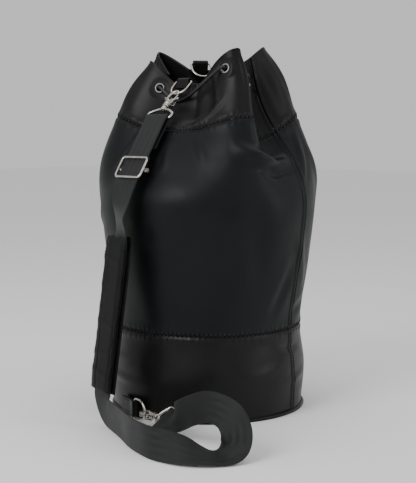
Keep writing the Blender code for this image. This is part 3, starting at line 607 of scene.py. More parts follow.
FOLDS = [
    # the deep smile under the valley beside the front ridge, and a fainter one below it
    ((79, 0.366), -4, 0.066, 0.016, 0.0125, 0.0115),
    ((82, 0.336), -4, 0.050, 0.012, 0.0100, 0.0016),
    # folds that run down from the gathers
    ((-24, 0.366), 78, 0.034, 0.003, 0.0090, 0.0022),
    ((14, 0.362), 100, 0.026, 0.003, 0.0100, 0.0010),
    ((36, 0.366), 118, 0.026, 0.004, 0.0100, 0.0012),
    ((108, 0.356), 70, 0.046, 0.004, 0.0090, 0.0026),
    ((124, 0.330), 108, 0.050, 0.005, 0.0120, 0.0018),
    ((160, 0.362), 84, 0.036, 0.004, 0.0100, 0.0022),
    ((200, 0.356), 97, 0.040, 0.003, 0.0100, 0.0022),
    ((250, 0.352), 86, 0.036, 0.004, 0.0110, 0.0020),
    ((290, 0.356), 100, 0.034, 0.004, 0.0100, 0.0022),
    # long soft dents in the body
    ((28, 0.215), 82, 0.085, 0.006, 0.0300, -0.0014),
    ((66, 0.235), 97, 0.090, 0.008, 0.0240, -0.0020),
    ((88, 0.175), 62, 0.050, 0.006, 0.0130, -0.0022),
    ((104, 0.205), 118, 0.052, 0.006, 0.0140, 0.0022),
    ((112, 0.150), 14, 0.040, 0.004, 0.0110, -0.0026),
    ((-52, 0.200), 96, 0.080, 0.006, 0.0220, -0.0016),
    ((-46, 0.270), 24, 0.045, 0.006, 0.0130, 0.0016),
    ((150, 0.220), 84, 0.080, 0.006, 0.0240, -0.0020),
    ((215, 0.210), 98, 0.085, 0.006, 0.0240, -0.0018),
    ((262, 0.180), 70, 0.060, 0.006, 0.0180, -0.0020),
    # level creases where the bag sits on its band
    ((-34, 0.080), 3, 0.062, 0.004, 0.0070, 0.0016),
    ((-22, 0.056), -4, 0.070, 0.005, 0.0080, 0.0016),
    ((-52, 0.036), 5, 0.050, 0.003, 0.0070, 0.0013),
    ((36, 0.030), -3, 0.060, 0.004, 0.0090, 0.0010),
    ((74, 0.066), 8, 0.052, 0.004, 0.0100, 0.0012),
    ((100, 0.094), -6, 0.040, 0.003, 0.0080, -0.0020),
    ((108, 0.052), 4, 0.048, 0.004, 0.0080, 0.0016),
    ((170, 0.050), 3, 0.070, 0.004, 0.0090, 0.0014),
    ((232, 0.066), -4, 0.070, 0.004, 0.0090, 0.0014),
    # crests and hollows of the gathered collar
    ((69, 0.455), 92, 0.066, 0.002, 0.0080, 0.0042),
    ((40, 0.462), 92, 0.054, 0.004, 0.0180, -0.0062),
    ((38, 0.424), 24, 0.050, 0.010, 0.0090, 0.0038),
    ((86, 0.440), 97, 0.046, 0.003, 0.0080, -0.0030),
    ((-16, 0.436), 82, 0.036, 0.003, 0.0090, -0.0016),
    ((-48, 0.450), 88, 0.050, 0.003, 0.0110, 0.0022),
    ((106, 0.452), 96, 0.046, 0.003, 0.0100, 0.0016),
    ((126, 0.462), 90, 0.050, 0.002, 0.0100, 0.0024),
    ((160, 0.440), 84, 0.040, 0.003, 0.0100, -0.0018),
    ((198, 0.460), 90, 0.050, 0.002, 0.0110, 0.0024),
    ((276, 0.462), 90, 0.050, 0.002, 0.0100, 0.0026),
    ((222, 0.440), 97, 0.040, 0.003, 0.0100, -0.0018),
    ((256, 0.446), 84, 0.040, 0.003, 0.0100, -0.0018),
]
WAVES = [(2, 9.0, 0.4, 0.0010), (3, 21.0, 1.9, 0.0008), (5, 14.0, 3.1, 0.0007), (7, 33.0, 0.9, 0.0005),
         (11, 46.0, 2.4, 0.0004)]
PUCKER = 0.0098              # one pucker of a seam, along the seam


def relief(angle, h):
    """Height of the folds above the plain leather surface."""
    angle, h = np.asarray(angle, float), np.asarray(h, float)
    total = np.zeros_like(h)
    for count, rate, phase, depth in WAVES:
        total += depth * np.sin(np.radians(angle) * count + phase) * np.sin(h * rate + 2 * phase)
    for place, tilt, half, bow, width, height in FOLDS:
        total += fold(angle, h, place, tilt, half, bow, width, height)
    arc_length = np.radians(angle) * WAIST_R
    for seam in (BAND_H, SEAM_H):
        d = np.abs(h - seam)
        total -= 0.0013 * np.exp(-(d / 0.0022) ** 2)
        total += 0.0007 * np.exp(-((d - 0.0062) / 0.0045) ** 2)
        ripple = np.sin(2 * math.pi * arc_length / PUCKER + np.sin(angle * 0.31) * 1.4)
        total += 0.00028 * ripple * np.exp(-((d - 0.0055) / 0.0040) ** 2)
    for seam in (SIDE_SEAM, SIDE_SEAM + 180):
        d = np.abs(np.radians(away(angle, seam))) * BELLY_R
        total += 0.0016 * np.exp(-((d - 0.0026) / 0.0024) ** 2) - 0.0008 * np.exp(-(d / 0.0013) ** 2)
    return total


# %% [markdown]
# ## The leather panels
#
# Each panel starts as a flat grid, is laid on the surface, raised by the relief along its own
# normals, and then thickened inwards. Where an eyelet goes through, the leather is punched out first;
# the eyelet's flange hides the edge of the hole.

# %% Panels
def cut_grid(across, up):
    """A flat grid from 0 to 1 both ways, with a UV map named Cut."""
    bm = bmesh.new()
    bm.loops.layers.uv.new("Cut")
    bmesh.ops.create_grid(bm, x_segments=across, y_segments=up, size=0.5, calc_uvs=True)
    bmesh.ops.translate(bm, verts=bm.verts, vec=(0.5, 0.5, 0.0))
    return bm


def punched(bm):
    """Cut away the faces that lie inside an eyelet's barrel."""
    holes = []
    for face in bm.faces:
        middle = face.calc_center_median()
        if any((middle - spot(a, RIM_H - EYELET_DROP)[0]).length < 0.0047 for a in EYELETS):
            holes.append(face)
    bmesh.ops.delete(bm, geom=holes, context="FACES")


def panel(name, mat, start, end, low, high, across, up, thick=LEATHER, eyelets=False):
    edge = math.degrees(SEAM_GAP / 2 / WAIST_R)
    bm = cut_grid(across, up)
    cut = np.array([v.co[:2] for v in bm.verts])
    angle = mix(start + edge, end - edge, cut[:, 0])
    h = mix(low, high, cut[:, 1])
    for v, a, k in zip(bm.verts, angle, h):
        v.co = skin(a, k)
    bm.normal_update()
    free = [1.0 - max([w for w, _, _ in pressed(v.co)], default=0.0) for v in bm.verts]
    for v, rise, share in zip(bm.verts, relief(angle, h), free):
        v.co += v.normal * rise * share
    if eyelets:
        punched(bm)
    item = make(name, bm, mat, recalc=False)
    return thicken(item, thick, -1.0)


FINE = 1.0
LEFT_SEAM = SIDE_SEAM - 180
sides = {"front": (LEFT_SEAM, SIDE_SEAM), "rear": (SIDE_SEAM, LEFT_SEAM + 360)}
foot = 2 * WELT_R + SEAM_GAP
half_gap = SEAM_GAP / 2
rows = {"lower_band": (band_leather, foot, BAND_H - half_gap, 62),
        "body": (body_leather, BAND_H + half_gap, SEAM_H - half_gap, 150),
        "collar": (band_leather, SEAM_H + half_gap, RIM_H, 66)}
panels = []
for part, (mat, low, high, up) in rows.items():
    for side, (start, end) in sides.items():
        item = panel(part + "_leather_" + side, mat, start, end, low, high,
                     round(240 * FINE), round(up * FINE), eyelets=part == "collar")
        slot = "body_leather" if part == "body" else "band_leather"
        panels.append(put(item, "bag", slot, part + "_" + side))


# %% [markdown]
# Stitches and the hem must lie on the leather itself, so a search tree of all
# the panels gives the true surface point nearest to any place on the plain formula.

# %% Finding the leather
def surface_tree(items):
    corners, faces = [], []
    for item in items:
        first = len(corners)
        corners += [v.co.copy() for v in item.data.vertices]
        faces += [[first + i for i in p.vertices] for p in item.data.polygons]
    return BVHTree.FromPolygons(corners, faces)


leather_tree = surface_tree(panels)


def on_leather(angle, h):
    """The point on the leather's outer face at an angle and leather height."""
    p, n, _ = spot(angle, h)
    hit = leather_tree.ray_cast(p + n * 0.014, -n, 0.024)
    return p if hit[0] is None else hit[0]


# %% [markdown]
# ## Stitching
#
# Both level seams are sewn with a heavy black zigzag that crosses the joint, with a straight row
# under it. Each stroke goes down at its needle hole, arches over the leather and goes down again.

# %% Seams
def stroke(a, b, n, sink=0.0007, rise=0.0003):
    """One stitch between two needle holes, bowed over the surface."""
    return [a - n * sink, a.lerp(b, 0.12) + n * rise * 0.8, a.lerp(b, 0.5) + n * rise,
            a.lerp(b, 0.88) + n * rise * 0.8, b - n * sink]


def zigzag(name, h, pitch, reach):
    strokes = []
    count = round(2 * math.pi * WAIST_R / pitch) // 2 * 2
    holes = [on_leather(360.0 * i / count, h + (reach if i % 2 else -reach)) for i in range(count)]
    for i in range(count):
        _, n, _ = spot(360.0 * i / count, h)
        strokes.append(stroke(holes[i], holes[(i + 1) % count], n))
    return wire(name, strokes, THREAD_R * 1.5, thread_black, resolution=1)


def shares(count, gap):
    """Where each of count stitches starts and ends along its row, from 0 to 1."""
    return [((i + gap) / count, (i + 1 - gap) / count) for i in range(count)]


def sewn(name, ends):
    """A row of stitches on the leather, each between two (angle, height) places."""
    strokes = [stroke(on_leather(*a), on_leather(*b), spot(*a)[1]) for a, b in ends]
    return wire(name, strokes, THREAD_R, thread_black, resolution=1)


def round_row(name, h, count, gap):
    return sewn(name, [((360.0 * a, h), (360.0 * b, h)) for a, b in shares(count, gap)])


def side_row(name, angle):
    """A row of stitches beside a side seam, from the welt to the rim."""
    low, high = 0.010, RIM_H - 0.010
    return sewn(name, [((angle, mix(low, high, a)), (angle, mix(low, high, b)))
                       for a, b in shares(round((RIM_H - 0.020) / 0.0042), 0.1)])


for word, h in (("lower", BAND_H), ("upper", SEAM_H)):
    put(zigzag(word + "_seam_zigzag", h + 0.0020, 0.0030, 0.0034), "bag", "cord")
    count = round(2 * math.pi * WAIST_R / 0.0040)
    put(round_row(word + "_seam_stitch", h - 0.0044, count, 0.08), "bag", "cord")


for word, angle in (("right", SIDE_SEAM), ("left", LEFT_SEAM)):
    for offset, which in ((-2.2, "front"), (2.2, "rear")):
        put(side_row("side_stitch_" + word + "_" + which, angle + offset), "bag", "cord")


# %% [markdown]
# ## The rim's hem
#
# The top of the collar is turned over to the inside and sewn down, so the rim shows a thick rounded
# edge with a row of stitches under it.

# %% Hem
HEM_DEPTH = 0.014
HEM_SET = 0.0006             # how far the rim's fold sits below and above the leather's edge
HEM_SEW = 0.0055             # the hem's stitches below the rim


def hem_profile():
    """Offsets (outwards, upwards) of the turned edge, from the outer face over to the inside."""
    back = -(LEATHER + 0.0003)
    turn = [(mix(0.0003, back, 0.5 - 0.5 * math.cos(math.pi * i / 8)),
             0.0013 * math.sin(math.pi * i / 8)) for i in range(9)]
    return [(0.0003, -HEM_DEPTH * 0.16), (0.0003, -0.0010)] + turn + [
        (back, -0.0015), (back, -HEM_DEPTH * 0.5), (back, -HEM_DEPTH)]


def make_hem():
    profile = hem_profile()
    bm = cut_grid(round(420 * FINE), len(profile) - 1)
    for v in bm.verts:
        angle = 360.0 * v.co.x
        out, rise = profile[round(v.co.y * (len(profile) - 1))]
        _, n, up = spot(angle, RIM_H)
        base = on_leather(angle, RIM_H - HEM_SET - max(0.0, -rise))
        v.co = base + n * out + up * (max(0.0, rise) + HEM_SET)
    bmesh.ops.remove_doubles(bm, verts=bm.verts, dist=0.00005)
    item = make("rim_hem", bm, band_leather)
    return thicken(item, 0.0006, 0.0)


put(make_hem(), "bag", "band_leather")
put(round_row("hem_stitch", RIM_H - HEM_SEW, 230, 0.1), "bag", "cord")


# %% [markdown]
# ## Base
#
# The base disc is sewn in with a piped welt: a leather strip folded round a cord. The board that
# stiffens it stays hidden inside.

# %% Welt and base
def make_welt():
    count = 180
    ring = [Vector((BASE_R * math.sin(k), -BASE_R * math.cos(k), WELT_R + SEAM_GAP / 2))
            for k in (2 * math.pi * i / count for i in range(count))]
    return wire("base_piping", [ring], WELT_R, trim_leather, closed=True, resolution=6)


put(make_welt(), "bag", "trim_leather", "base_welt")
paint("base_panel", band_leather)
paint("base_board", board)


# %% [markdown]
# ## Eyelets and drawstring
#
# An eyelet is a turned metal barrel with a rolled flange on each side. The cord passes outside the
# valleys and inside the ridges, and its two ends meet in a knot inside the mouth.

# %% Eyelets
def eyelet_place(angle):
    p, n, up = spot(angle, RIM_H - EYELET_DROP)
    return p - n * LEATHER / 2, n, up


def make_eyelet(name, angle):
    centre, n, up = eyelet_place(angle)
    reach = LEATHER / 2 + 0.0003
    outline = [(0.0042, 0.0)]
    outline += [(0.0056 - x, reach + 0.0002 + z) for x, z in arc(0, 0, 0.0014, 0.0012, 0, 180, 10)]
    outline += [(0.0070, reach), (0.0052, reach), (0.0051, 0.0)]
    bm = bmesh.new()
    profile = [bm.verts.new((x, 0, z)) for x, z in outline]
    edges = [bm.edges.new(pair) for pair in zip(profile, profile[1:])]
    mirror = bmesh.ops.duplicate(bm, geom=profile + edges)
    far = [v for v in mirror["geom"] if isinstance(v, bmesh.types.BMVert)]
    bmesh.ops.scale(bm, verts=far, vec=(1, 1, -1))
    bmesh.ops.remove_doubles(bm, verts=bm.verts, dist=0.00002)
    bmesh.ops.spin(bm, geom=list(bm.verts) + list(bm.edges), cent=(0, 0, 0), axis=(0, 0, 1),
                   angle=2 * math.pi, steps=48, use_merge=True)
    bmesh.ops.remove_doubles(bm, verts=bm.verts, dist=0.00002)
    bmesh.ops.transform(bm, matrix=frame_from(centre, up, n), verts=bm.verts)
    return make(name, bm, nickel_dark)


for k, angle in enumerate(EYELETS):
    put(make_eyelet("turned_eyelet_%d" % (k + 1), angle), "bag", "nickel", "eyelet_%d" % (k + 1))


# %% Drawstring
def cord_keys():
    """The cord's keys from the knot round the rim and back, and the knot's centre."""
    keys = []
    for k, angle in enumerate(EYELETS):
        centre, n, _ = eyelet_place(angle)
        side = 1 if k % 2 else -1
        if angle == EYELETS[1]:              # below the front tab the cord lies on the leather
            low, out, _ = spot(FRONT_ANGLE, RIM_H - CORD_SAG)
            keys.append(low + out * (CORD_R + 0.0005))
        keys += [centre + n * CORD_REACH * side, centre, centre - n * CORD_REACH * side]
    start = EYELETS.index(KNOT_AFTER) * 3 + 4
    keys = keys[start:] + keys[:start]
    a = math.radians(KNOT_ANGLE)
    knot = Vector((KNOT_OUT * math.sin(a), -KNOT_OUT * math.cos(a), KNOT_Z))
    first = knot + (keys[0] - knot).normalized() * (KNOT_R * 0.6)
    last = knot + (keys[-1] - knot).normalized() * (KNOT_R * 0.6)
    return [first] + keys + [last], knot


def knot_route(centre, radius):
    """A trefoil, the shape of an overhand knot drawn tight."""
    points = []
    for i in range(72):
        t = 2 * math.pi * i / 72
        x = math.sin(t) + 2 * math.sin(2 * t)
        y = math.cos(t) - 2 * math.cos(2 * t)
        points.append(centre + Vector((x, y, -math.sin(3 * t) * 1.3)) * radius / 3)
    return points


route, knot_centre = cord_keys()
cord = wire("drawstring_cord", [smooth_route(route, 0.0020)], CORD_R, cord_leather, resolution=4)
put(cord, "bag", "cord", "drawstring")
knot = wire("cord_knot", [knot_route(knot_centre, KNOT_R - CORD_R)], CORD_R, cord_leather, closed=True)
put(knot, "bag", "cord", "drawstring_knot")


# %% [markdown]
# ## Rings and leather tabs
#
# Each D-ring is bent from round wire and held by a folded strip of leather, sewn through both legs.

# %% Bands of leather and webbing
def band(name, mat, stations, width, thick, across=10, edge=0.0004):
    """A flat band through stations of (centre, half width, facing), with a UV map in metres."""
    last = len(stations) - 1
    bm = cut_grid(across, last)
    lengths = [0.0]
    for a, b in zip(stations, stations[1:]):
        lengths.append(lengths[-1] + (b[0] - a[0]).length)
    uv = bm.loops.layers.uv["Cut"]
    for face in bm.faces:
        for loop in face.loops:
            u, v = loop.vert.co.x, loop.vert.co.y
            loop[uv].uv = (u * width, lengths[round(v * last)])
    for v in bm.verts:
        centre, half, facing = stations[round(v.co.y * last)]
        v.co = centre + half * (1 - 2 * v.co.x)
    item = make(name, bm, mat, recalc=False)
    return thicken(item, thick, 0.0, edge)


def fill_in(stations, step):
    """The same band with stations closer together."""
    table = [[(0.0, value)] for value in stations[0]]
    length = 0.0
    for a, b in zip(stations, stations[1:]):
        length += (b[0] - a[0]).length
        for part in range(3):
            table[part].append((length, b[part]))
    count = max(2, round(length / step))
    made = []
    for i in range(count + 1):
        centre, half, facing = (through(keys, length * i / count) for keys in table)
        made.append((centre, half.normalized() * stations[0][1].length, facing.normalized()))
    return made


# %% Rim tabs and rings
def ring_outline():
    """D shape in the ring's own plane: bar along x at z = 0, bow at z = -RING_L."""
    w, corner = RING_W / 2, 0.0035
    pts = [(x * w, 0.0) for x in (0.0, 0.4)]
    pts += arc(w - corner, -corner, corner, corner, 90, 0, 6)
    pts += arc(0, -(RING_L - w), w, w, 0, -180, 36)
    pts += arc(-w + corner, -corner, corner, corner, 180, 90, 6)
    return pts + [(-0.4 * w, 0.0)]


def make_ring(name, matrix):
    points = [matrix @ Vector((x, 0, z)) for x, z in ring_outline()]
    return wire(name, [points], WIRE_R, nickel, closed=True, resolution=5)


def row_between(start, end, n, count):
    """A straight row of stitches between two points."""
    return [stroke(start.lerp(end, a), start.lerp(end, b), n)
            for a, b in shares(count, 0.12)]


def rim_tab(name, angle, rise):
    """A leather tab over the rim, and the frame of the ring's bar it holds."""
    p, n, up = spot(angle, RIM_H - 0.006)
    rim = skin(angle, RIM_H)
    bar = rim - n * LEATHER / 2 + up * (WIRE_R + rise)
    mid = WIRE_R + SEAM_GAP * 3 + TAB_T / 2
    leg = TAB_LEG + rise - TAB_RISE
    path = [(mid, -leg, 0.0), (mid, -leg / 2, 0.0), (mid, 0, 0.0)]
    path += [(mid * math.cos(t), mid * math.sin(t), t) for t in (math.pi * i / 10 for i in range(1, 10))]
    path += [(-mid, 0, math.pi), (-mid, -leg / 2, math.pi), (-mid, -leg, math.pi)]
    along = up.cross(n).normalized() * TAB_W / 2
    stations = [(bar + n * a + up * b, along, n * math.cos(t) + up * math.sin(t)) for a, b, t in path]
    tab = band(name + "_leather", trim_leather, fill_in(stations, 0.0011), TAB_W, TAB_T, 12, 0.0005)
    strokes = []
    face = mid + TAB_T / 2
    for drop in (-leg + 0.0024, -leg + 0.0050):
        middle = bar + n * face + up * drop
        strokes += row_between(middle - along * 0.82, middle + along * 0.82, n, 6)
    seam = wire(name + "_stitch", strokes, THREAD_R, thread_black, resolution=1)
    put(tab, "bag", "trim_leather", name)
    put(seam, "bag", "cord")
    return bar


CHAIN_DOWN = Vector((0, -0.731, -0.682)).normalized()
WIRE_SEAT = HOOK_TOP - WIRE_R - 0.0012
front_bar = rim_tab("front_ring_tab", FRONT_ANGLE, TAB_RISE)
put(make_ring("front_d_ring", frame_from(front_bar, X, -CHAIN_DOWN)),
    "front_ring", "nickel", "front_ring")
back_bar = rim_tab("back_ring_tab", BACK_ANGLE, BACK_RISE)
back_along = Vector((math.cos(math.radians(BACK_ANGLE)), math.sin(math.radians(BACK_ANGLE)), 0))
back_hang = Z.cross(back_along) * 0.67 - Z * 0.743
put(make_ring("back_d_ring", frame_from(back_bar, back_along, -back_hang)),
    "back_ring", "nickel", "back_ring")

# %% Base tab and ring
BASE_RUN = Vector((0.970, -0.240, 0.0)).normalized()
BASE_BAR = Vector((0.004, -0.1500, 0.0168))
TAB_FOOT = Vector((-0.034, -0.1352, 0.0168))


def base_tab_stations():
    run = (BASE_BAR - TAB_FOOT).normalized()
    side = Z.cross(run).normalized()
    mid = WIRE_R + SEAM_GAP * 2 + TAB_T / 2
    length = (BASE_BAR - TAB_FOOT).length
    close = TAB_T / 2 + SEAM_GAP / 2
    legs = [(0.0, close), (0.4, close), (0.72, close), (0.94, mid)]
    stations = [(TAB_FOOT + run * length * d + side * off, Z * TAB_W / 2, side) for d, off in legs]
    for i in range(0, 9):
        t = math.pi * i / 8
        out = side * math.cos(t) + run * math.sin(t)
        stations.append((BASE_BAR + out * mid, Z * TAB_W / 2, out))
    stations += [(TAB_FOOT + run * length * d - side * off, Z * TAB_W / 2, -side)
                 for d, off in reversed(legs)]
    return stations, run, side, length


stations, tab_run, tab_side, tab_length = base_tab_stations()
put(band("base_ring_tab_leather", trim_leather, fill_in(stations, 0.0012), TAB_W, TAB_T, 12, 0.0005),
    "bag", "trim_leather", "base_ring_tab")
tab_strokes = []
tab_face = TAB_T + SEAM_GAP / 2
for height in (-0.36, 0.36):
    level = TAB_FOOT + Z * TAB_W * height - tab_side * tab_face
    tab_strokes += row_between(level + tab_run * tab_length * 0.08,
                               level + tab_run * tab_length * 0.72, -tab_side, 7)
put(wire("base_tab_stitch", tab_strokes, THREAD_R, thread_black, resolution=1), "bag", "cord")
put(make_ring("base_d_ring", frame_from(BASE_BAR, Z, -BASE_RUN)), "base_ring", "nickel", "base_ring")


# %% [markdown]
# ## Swivel snaps
#
# A cast hook curves over from a round barrel. A thumb lever closes its mouth, turning on a pin
# against a small leaf spring. The wide wire loop below turns on a stud inside the barrel.

# %% Snap
def turned(profile, matrix, steps=32):
    """A turned solid from (radius, height) points, from the axis and back to it."""
    bm = bmesh.new()
    line = [bm.verts.new((r, 0, z)) for r, z in profile]
    edges = [bm.edges.new(pair) for pair in zip(line, line[1:])]
    bmesh.ops.spin(bm, geom=line + edges, cent=(0, 0, 0), axis=(0, 0, 1),
                   angle=2 * math.pi, steps=steps, use_merge=True)
    bmesh.ops.remove_doubles(bm, verts=bm.verts, dist=0.00001)
    bmesh.ops.transform(bm, matrix=matrix, verts=bm.verts)
    return bm


def block(matrix, low, high, edge):
    bm = bmesh.new()
    bmesh.ops.create_cube(bm, size=1.0)
    low, high = Vector(low), Vector(high)
    bmesh.ops.scale(bm, verts=bm.verts, vec=high - low)
    bmesh.ops.translate(bm, verts=bm.verts, vec=(low + high) / 2)
    bmesh.ops.bevel(bm, geom=list(bm.edges), offset=edge, segments=3, profile=0.5,
                    affect="EDGES", material=-1)
    bmesh.ops.transform(bm, matrix=matrix, verts=bm.verts)
    return bm


def make_hook(prefix, matrix):
    """The hook's curved arm, its barrel and the two lugs that carry the gate's pin."""
    line = [(0.0000, 0.0060)] + arc(0, HOOK_TOP - 0.00875, 0.0070, 0.01075, 236, 40, 26)
    thick = [1.25, 1.22] + [mix(1.15, 0.92, i / 24) for i in range(25)] + [0.80]
    points = [matrix @ Vector((x, 0, z)) for x, z in line]
    arm = wire(prefix + "_arm", [points], 0.0021, nickel, radii=thick, resolution=6)
    barrel = make(prefix + "_barrel", turned(
        [(0.0025, -0.0010), (0.0047, -0.0010), (0.0052, -0.0005), (0.0052, 0.0010),
         (0.0047, 0.0016), (0.0047, 0.0030), (0.0052, 0.0036), (0.0052, 0.0080),
         (0.0046, 0.0096), (0.0030, 0.0104), (0.0, 0.0106)], matrix), nickel)
    lugs = [make(prefix + "_lug", block(matrix, (0.0020, y - 0.0006, 0.0045), (0.0094, y + 0.0006, 0.0124),
                                        0.0005), nickel) for y in (-0.00275, 0.00275)]
    return join(prefix + "_hook_cast", [arm, barrel] + lugs)


def make_loop(prefix, matrix):
    """The wide wire loop and the stud that turns in the barrel."""
    half = STRAP_W / 2 + 0.0025
    outline = arc(half - 0.0022, LOOP_BAR + 0.0022, 0.0022, 0.0022, -90, 0, 6)
    outline += arc(half - 0.0030, -0.0142, 0.0030, 0.0030, 0, 62, 6)
    outline += [(0.012, -0.0072), (0.0075, -0.0056), (0.0035, -0.0048), (0.0, -0.0046)]
    right = [(0.0, LOOP_BAR)] + outline
    left = [(-x, z) for x, z in reversed(outline[:-1])]
    points = [matrix @ Vector((x, 0, z)) for x, z in right + left]
    bow = wire(prefix + "_bow", [points], LOOP_WIRE_R, nickel, closed=True, resolution=5)
    stud = make(prefix + "_stud", turned(
        [(0.0, -0.0078), (0.0032, -0.0076), (0.0044, -0.0066), (0.0046, -0.0040),
         (0.0042, -0.0022), (0.0030, -0.0014), (0.0022, -0.0013), (0.0022, 0.0076), (0.0, 0.0078)],
        matrix), nickel)
    return join(prefix + "_loop_bow", [bow, stud])


def make_gate(prefix, matrix):
    """The thumb lever: an eye round the pin, a blade up to the hook's tip, and a thumb piece."""
    px, pz = 0.0068, 0.0100
    blade = [(px - 0.0002, pz), (px - 0.0004, pz + 0.0040), (px - 0.0003, pz + 0.0085),
             (px + 0.0001, pz + 0.0128)]
    arm = wire(prefix + "_blade", [[matrix @ Vector((x, 0, z)) for x, z in blade]], 0.0014, nickel,
               radii=[1.25, 1.1, 0.95, 0.8], resolution=5)
    rod = [matrix @ Vector((px, y, pz)) for y in (-0.0017, 0.0017)]
    eye = wire(prefix + "_eye", [rod], 0.0024, nickel, resolution=6)
    neck = [matrix @ Vector(p) for p in ((px + 0.0006, 0, pz + 0.0050), (px + 0.0036, 0, pz + 0.0054))]
    stem = wire(prefix + "_stem", [neck], 0.0010, nickel, resolution=4)
    thumb = make(prefix + "_thumb", block(matrix, (px + 0.0030, -0.0018, pz + 0.0036),
                                          (px + 0.0062, 0.0018, pz + 0.0072), 0.0009), nickel)
    return join(prefix + "_gate_lever", [arm, eye, stem, thumb])


def make_snap(prefix, hook_matrix, loop_matrix):
    put(make_hook(prefix, hook_matrix), prefix + "_hook", "nickel", prefix + "_hook")
    put(make_gate(prefix, hook_matrix), prefix + "_gate", "nickel", prefix + "_gate")
    put(make_loop(prefix, loop_matrix), prefix + "_loop", "nickel", prefix + "_loop")
    paint(prefix + "_gate_pin", nickel)
    paint(prefix + "_gate_spring", spring_steel)


top_swivel = front_bar + CHAIN_DOWN * (RING_L + WIRE_SEAT)
top_loop = frame_from(top_swivel, X, -CHAIN_DOWN)
make_snap("top", top_loop, top_loop)
top_bar = top_loop @ Vector((0, 0, LOOP_BAR))

LEAN = math.radians(35)
base_swivel = BASE_BAR + BASE_RUN * (RING_L + WIRE_SEAT)
inward = Z.cross(BASE_RUN)
base_wide = inward * math.cos(LEAN) + Z * math.sin(LEAN)
base_loop = frame_from(base_swivel, base_wide, -BASE_RUN)
make_snap("base", frame_from(base_swivel, -inward, -BASE_RUN), base_loop)
base_bar = base_loop @ Vector((0, 0, LOOP_BAR))


# %% [markdown]
# ## The shoulder strap
#
# One length of 38 mm webbing folds round the top loop, runs doubled through the slider and goes
# down into the pad. The other leaves the pad, turns on to its edge across the floor, and comes back
# to the base snap.

# %% Route of the upper strap
FOLD_R = LOOP_WIRE_R + 0.0004 + STRAP_T / 2
SLIDER_AT = Vector((0, -0.1475, 0.337))
PAD_HEAD = Vector((0.002, -BELLY_R - 0.0210, PAD_TOP))
PAD_FOOT = Vector((-0.014, -BELLY_R - 0.0410, PAD_BOTTOM))
PAD_ACROSS = Vector((math.cos(math.radians(-12)), math.sin(math.radians(-12)), 0))


def layers(loop_bar):
    """Direction down the strap and outward normal of its doubled stretch."""
    reach = SLIDER_AT - loop_bar
    straight_down = reach.normalized()
    out = X.cross(straight_down).normalized()
    if out.y > 0:
        out = -out
    tilt = math.asin(FOLD_R / reach.length)
    down = straight_down * math.cos(tilt) - out * math.sin(tilt)
    return down, out * math.cos(tilt) + straight_down * math.sin(tilt)


def strap_stations(keys, step):
    """Stations from keys of (centre, width direction) on a smooth curve."""
    centres, widths, length = [(0.0, keys[0][0])], [(0.0, keys[0][1].normalized())], 0.0
    places = [0.0]
    for (a, _), (b, wide) in zip(keys, keys[1:]):
        span = (b - a).length
        parts = max(2, round(span / step))
        places += [length + span * (k + 1) / parts for k in range(parts)]
        length += span
        centres.append((length, b))
        widths.append((length, wide.normalized()))
    line = [through(centres, x) for x in places]
    stations = []
    for i, (x, c) in enumerate(zip(places, line)):
        ahead = (line[min(i + 1, len(line) - 1)] - line[max(i - 1, 0)]).normalized()
        w = through(widths, x)
        w = (w - ahead * w.dot(ahead)).normalized()
        stations.append((c, w * STRAP_W / 2, ahead.cross(w).normalized()))
    return stations


def turned_x(degrees):
    return Vector((math.cos(math.radians(degrees)), math.sin(math.radians(degrees)), 0))


def upper_keys(bar):
    down, n = layers(bar)
    keys = [(bar - n * FOLD_R + down * d, X) for d in (0.047, 0.024, 0.004)]
    for i in range(1, 8):
        t = math.pi * i / 8
        keys.append((bar - n * FOLD_R * math.cos(t) - down * FOLD_R * math.sin(t), X))
    start = bar + n * FOLD_R
    keys += [(start + down * d, X) for d in (0.004, 0.024, 0.050, 0.0785, 0.098, 0.106)]
    keys += [(Vector((0.0005, -0.1700, 0.292)), turned_x(-12)), (Vector((0.0, -0.1718, 0.272)), turned_x(-30)),
             (PAD_HEAD + Vector((0, 0, 0.004)), turned_x(-24)), (PAD_HEAD.lerp(PAD_FOOT, 0.10), PAD_ACROSS),
             (PAD_HEAD.lerp(PAD_FOOT, 0.30), PAD_ACROSS), (PAD_HEAD.lerp(PAD_FOOT, 0.4985), PAD_ACROSS)]
    return keys


# %% Route of the lower strap
# the strap over the floor: on its edge, then flat, then curling up and back; centre and width
FLOOR_KEYS = [
    ((0.052, -0.2235, 0.0196), (0.0, 0.0, 1.0)),
    ((0.098, -0.2480, 0.0196), (-0.05, 0.08, 0.99)),
    ((0.144, -0.2620, 0.0194), (-0.17, 0.19, 0.97)),
    ((0.180, -0.2545, 0.0166), (-0.43, 0.47, 0.77)),
    ((0.206, -0.2380, 0.0098), (-0.71, 0.64, 0.30)),
    ((0.220, -0.2200, 0.0070), (-0.96, 0.26, 0.16)),
    ((0.228, -0.2070, 0.0175), (-0.93, -0.36, 0.05)),
    ((0.226, -0.2010, 0.0350), (-0.80, -0.59, -0.10)),
    ((0.211, -0.1980, 0.0510), (-0.56, -0.50, -0.66)),
    ((0.178, -0.1950, 0.0560), (-0.19, -0.17, -0.97)),
    ((0.144, -0.1900, 0.0450), (0.0, 0.0, -1.0)),
    ((0.112, -0.1810, 0.0300), (0.0, 0.0, -1.0)),
]


